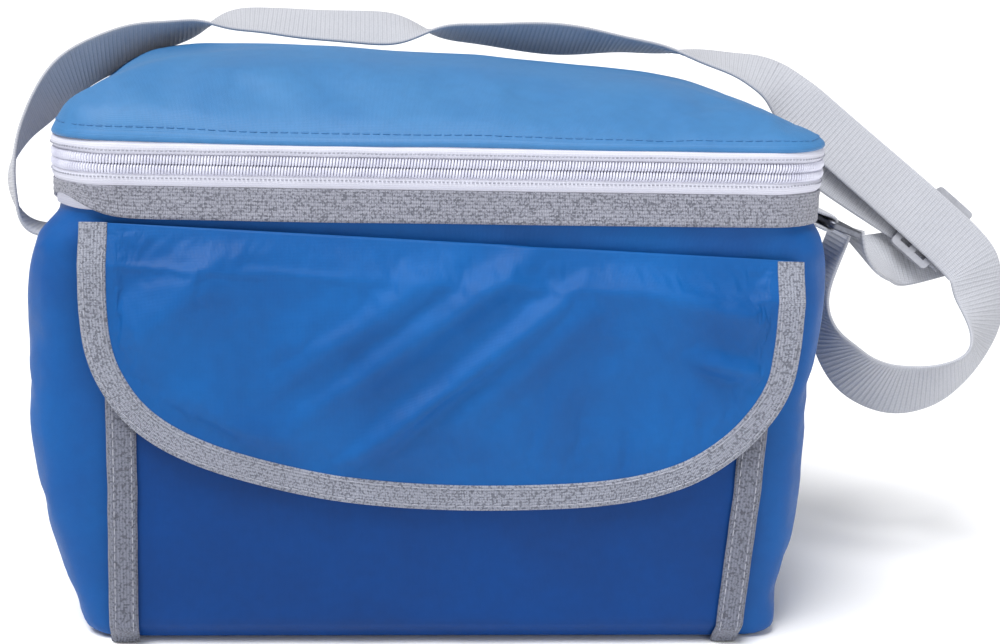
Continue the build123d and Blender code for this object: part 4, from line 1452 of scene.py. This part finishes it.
# %% The doubled end
run_start, run_end = np.array((169.0, 32.0, 189.0)), np.array((229.0, 10.0, 138.0))
glide_run = unit(run_end - run_start)
glide_way = np.array((0.55, 0.25, 0.8))
glide_way = unit(glide_way - glide_run * glide_way.dot(glide_run))
glide_out = np.cross(glide_way, glide_run)
glide_out *= math.copysign(1.0, glide_out[1])
return_lift = 5.65


def behind_run(share, out=0.0, slip=0.0):
    """A place behind the strap's straight run, in mm; slip moves it sideways."""
    place = run_start + (run_end - run_start) * share
    return tuple(place + glide_out * (return_lift + out) - glide_way * slip)


swing_stations = (
    ((179.2, 0, 147.3), (0, 1, 0)), ((180.4, 0, 141.3), (0, 1, 0)), ((186, 5, 135.5), (0, 1, 0.3)),
    ((196, 14, 132), (-0.1, 0.8, 0.6)), ((209, 20, 131), (0, 0.4, 0.9)),
    (behind_run(0.97, 2.6), (0.1, 0.2, 1)),
)
tail_stations = tuple(
    (behind_run(*at), tuple(glide_way))
    for at in ((1.02,), (0.85,), (0.60, 0.0, 3.5), (0.30, 0.4, 7.0), (0.05, 0.0, 9.0))
)
for name, stations in (("strap_swing", swing_stations), ("strap_tail", tail_stations)):
    line, ways, length = smooth_line(stations, rib_step, 5 * MM)
    piece = strip_piece(name, line, ways, strap_section, strap_ribs)
    bend = "bag"
    if name == "strap_tail":
        start = np.array(behind_run(0.66)) * MM
        bend = ("bag", "lid", tuple(start), tuple(np.array(behind_run(-0.05)) * MM))
    done(piece, strap_weave, bend, ["strap_return"] if name == "strap_swing" else ())

# %% [markdown]
# ## Ring tab, ring, slider and stops
# A short loop of the same webbing holds the ring. The ring, the three-bar slider and
# the zip slider are hard parts: they keep their exact shapes and only get a finish.

# %% Ring tab webbing
tilt = math.radians(20.0)
tab_way = np.array((math.cos(tilt), 0.0, -math.sin(tilt)))
tab_up = np.array((math.sin(tilt), 0.0, math.cos(tilt)))
pivot = np.array((164.953, 0.0, 151.392))
eye = 2.85
tab_path = [(141.2, 0, 163.0), (142.8, 0, 160.6)]
tab_path += [tuple(pivot - tab_way * back + tab_up * eye) for back in (16, 9, 4, 0)]
for a in np.radians((45, 90, 135)):
    tab_path.append(tuple(pivot + eye * (tab_way * math.sin(a) + tab_up * math.cos(a))))
tab_path += [tuple(pivot - tab_way * back - tab_up * (eye - 0.05 * back)) for back in (0, 4, 9, 16)]
tab_path += [(141.4, 0, 157.6), (141.0, 0, 159.4)]
line, ways, _ = smooth_line([(p, (0, 1, 0)) for p in tab_path], rib_step)
tab = strip_piece("ring_tab_webbing", line, ways, flat_profile(25 * MM, 1.4 * MM, 13), strap_ribs)
done(tab, strap_weave, "bag", ["ring_tab"])

# %% Finishes for the hard parts
for node_name, material in (
    ("zip_slider", metal_finish), ("bail_pin", metal_finish), ("pull_tab", metal_finish),
    ("zip_end_stops", coil_finish), ("ring", ring_finish), ("tri_glide", grey_plastic),
    ("flap_seam_strip", wall_cloth),
):
    nodes[node_name].data.materials.clear()
    nodes[node_name].data.materials.append(material)
left_showing = [n for n, o in nodes.items() if not o.hide_render]
print("hard parts shown:", left_showing)
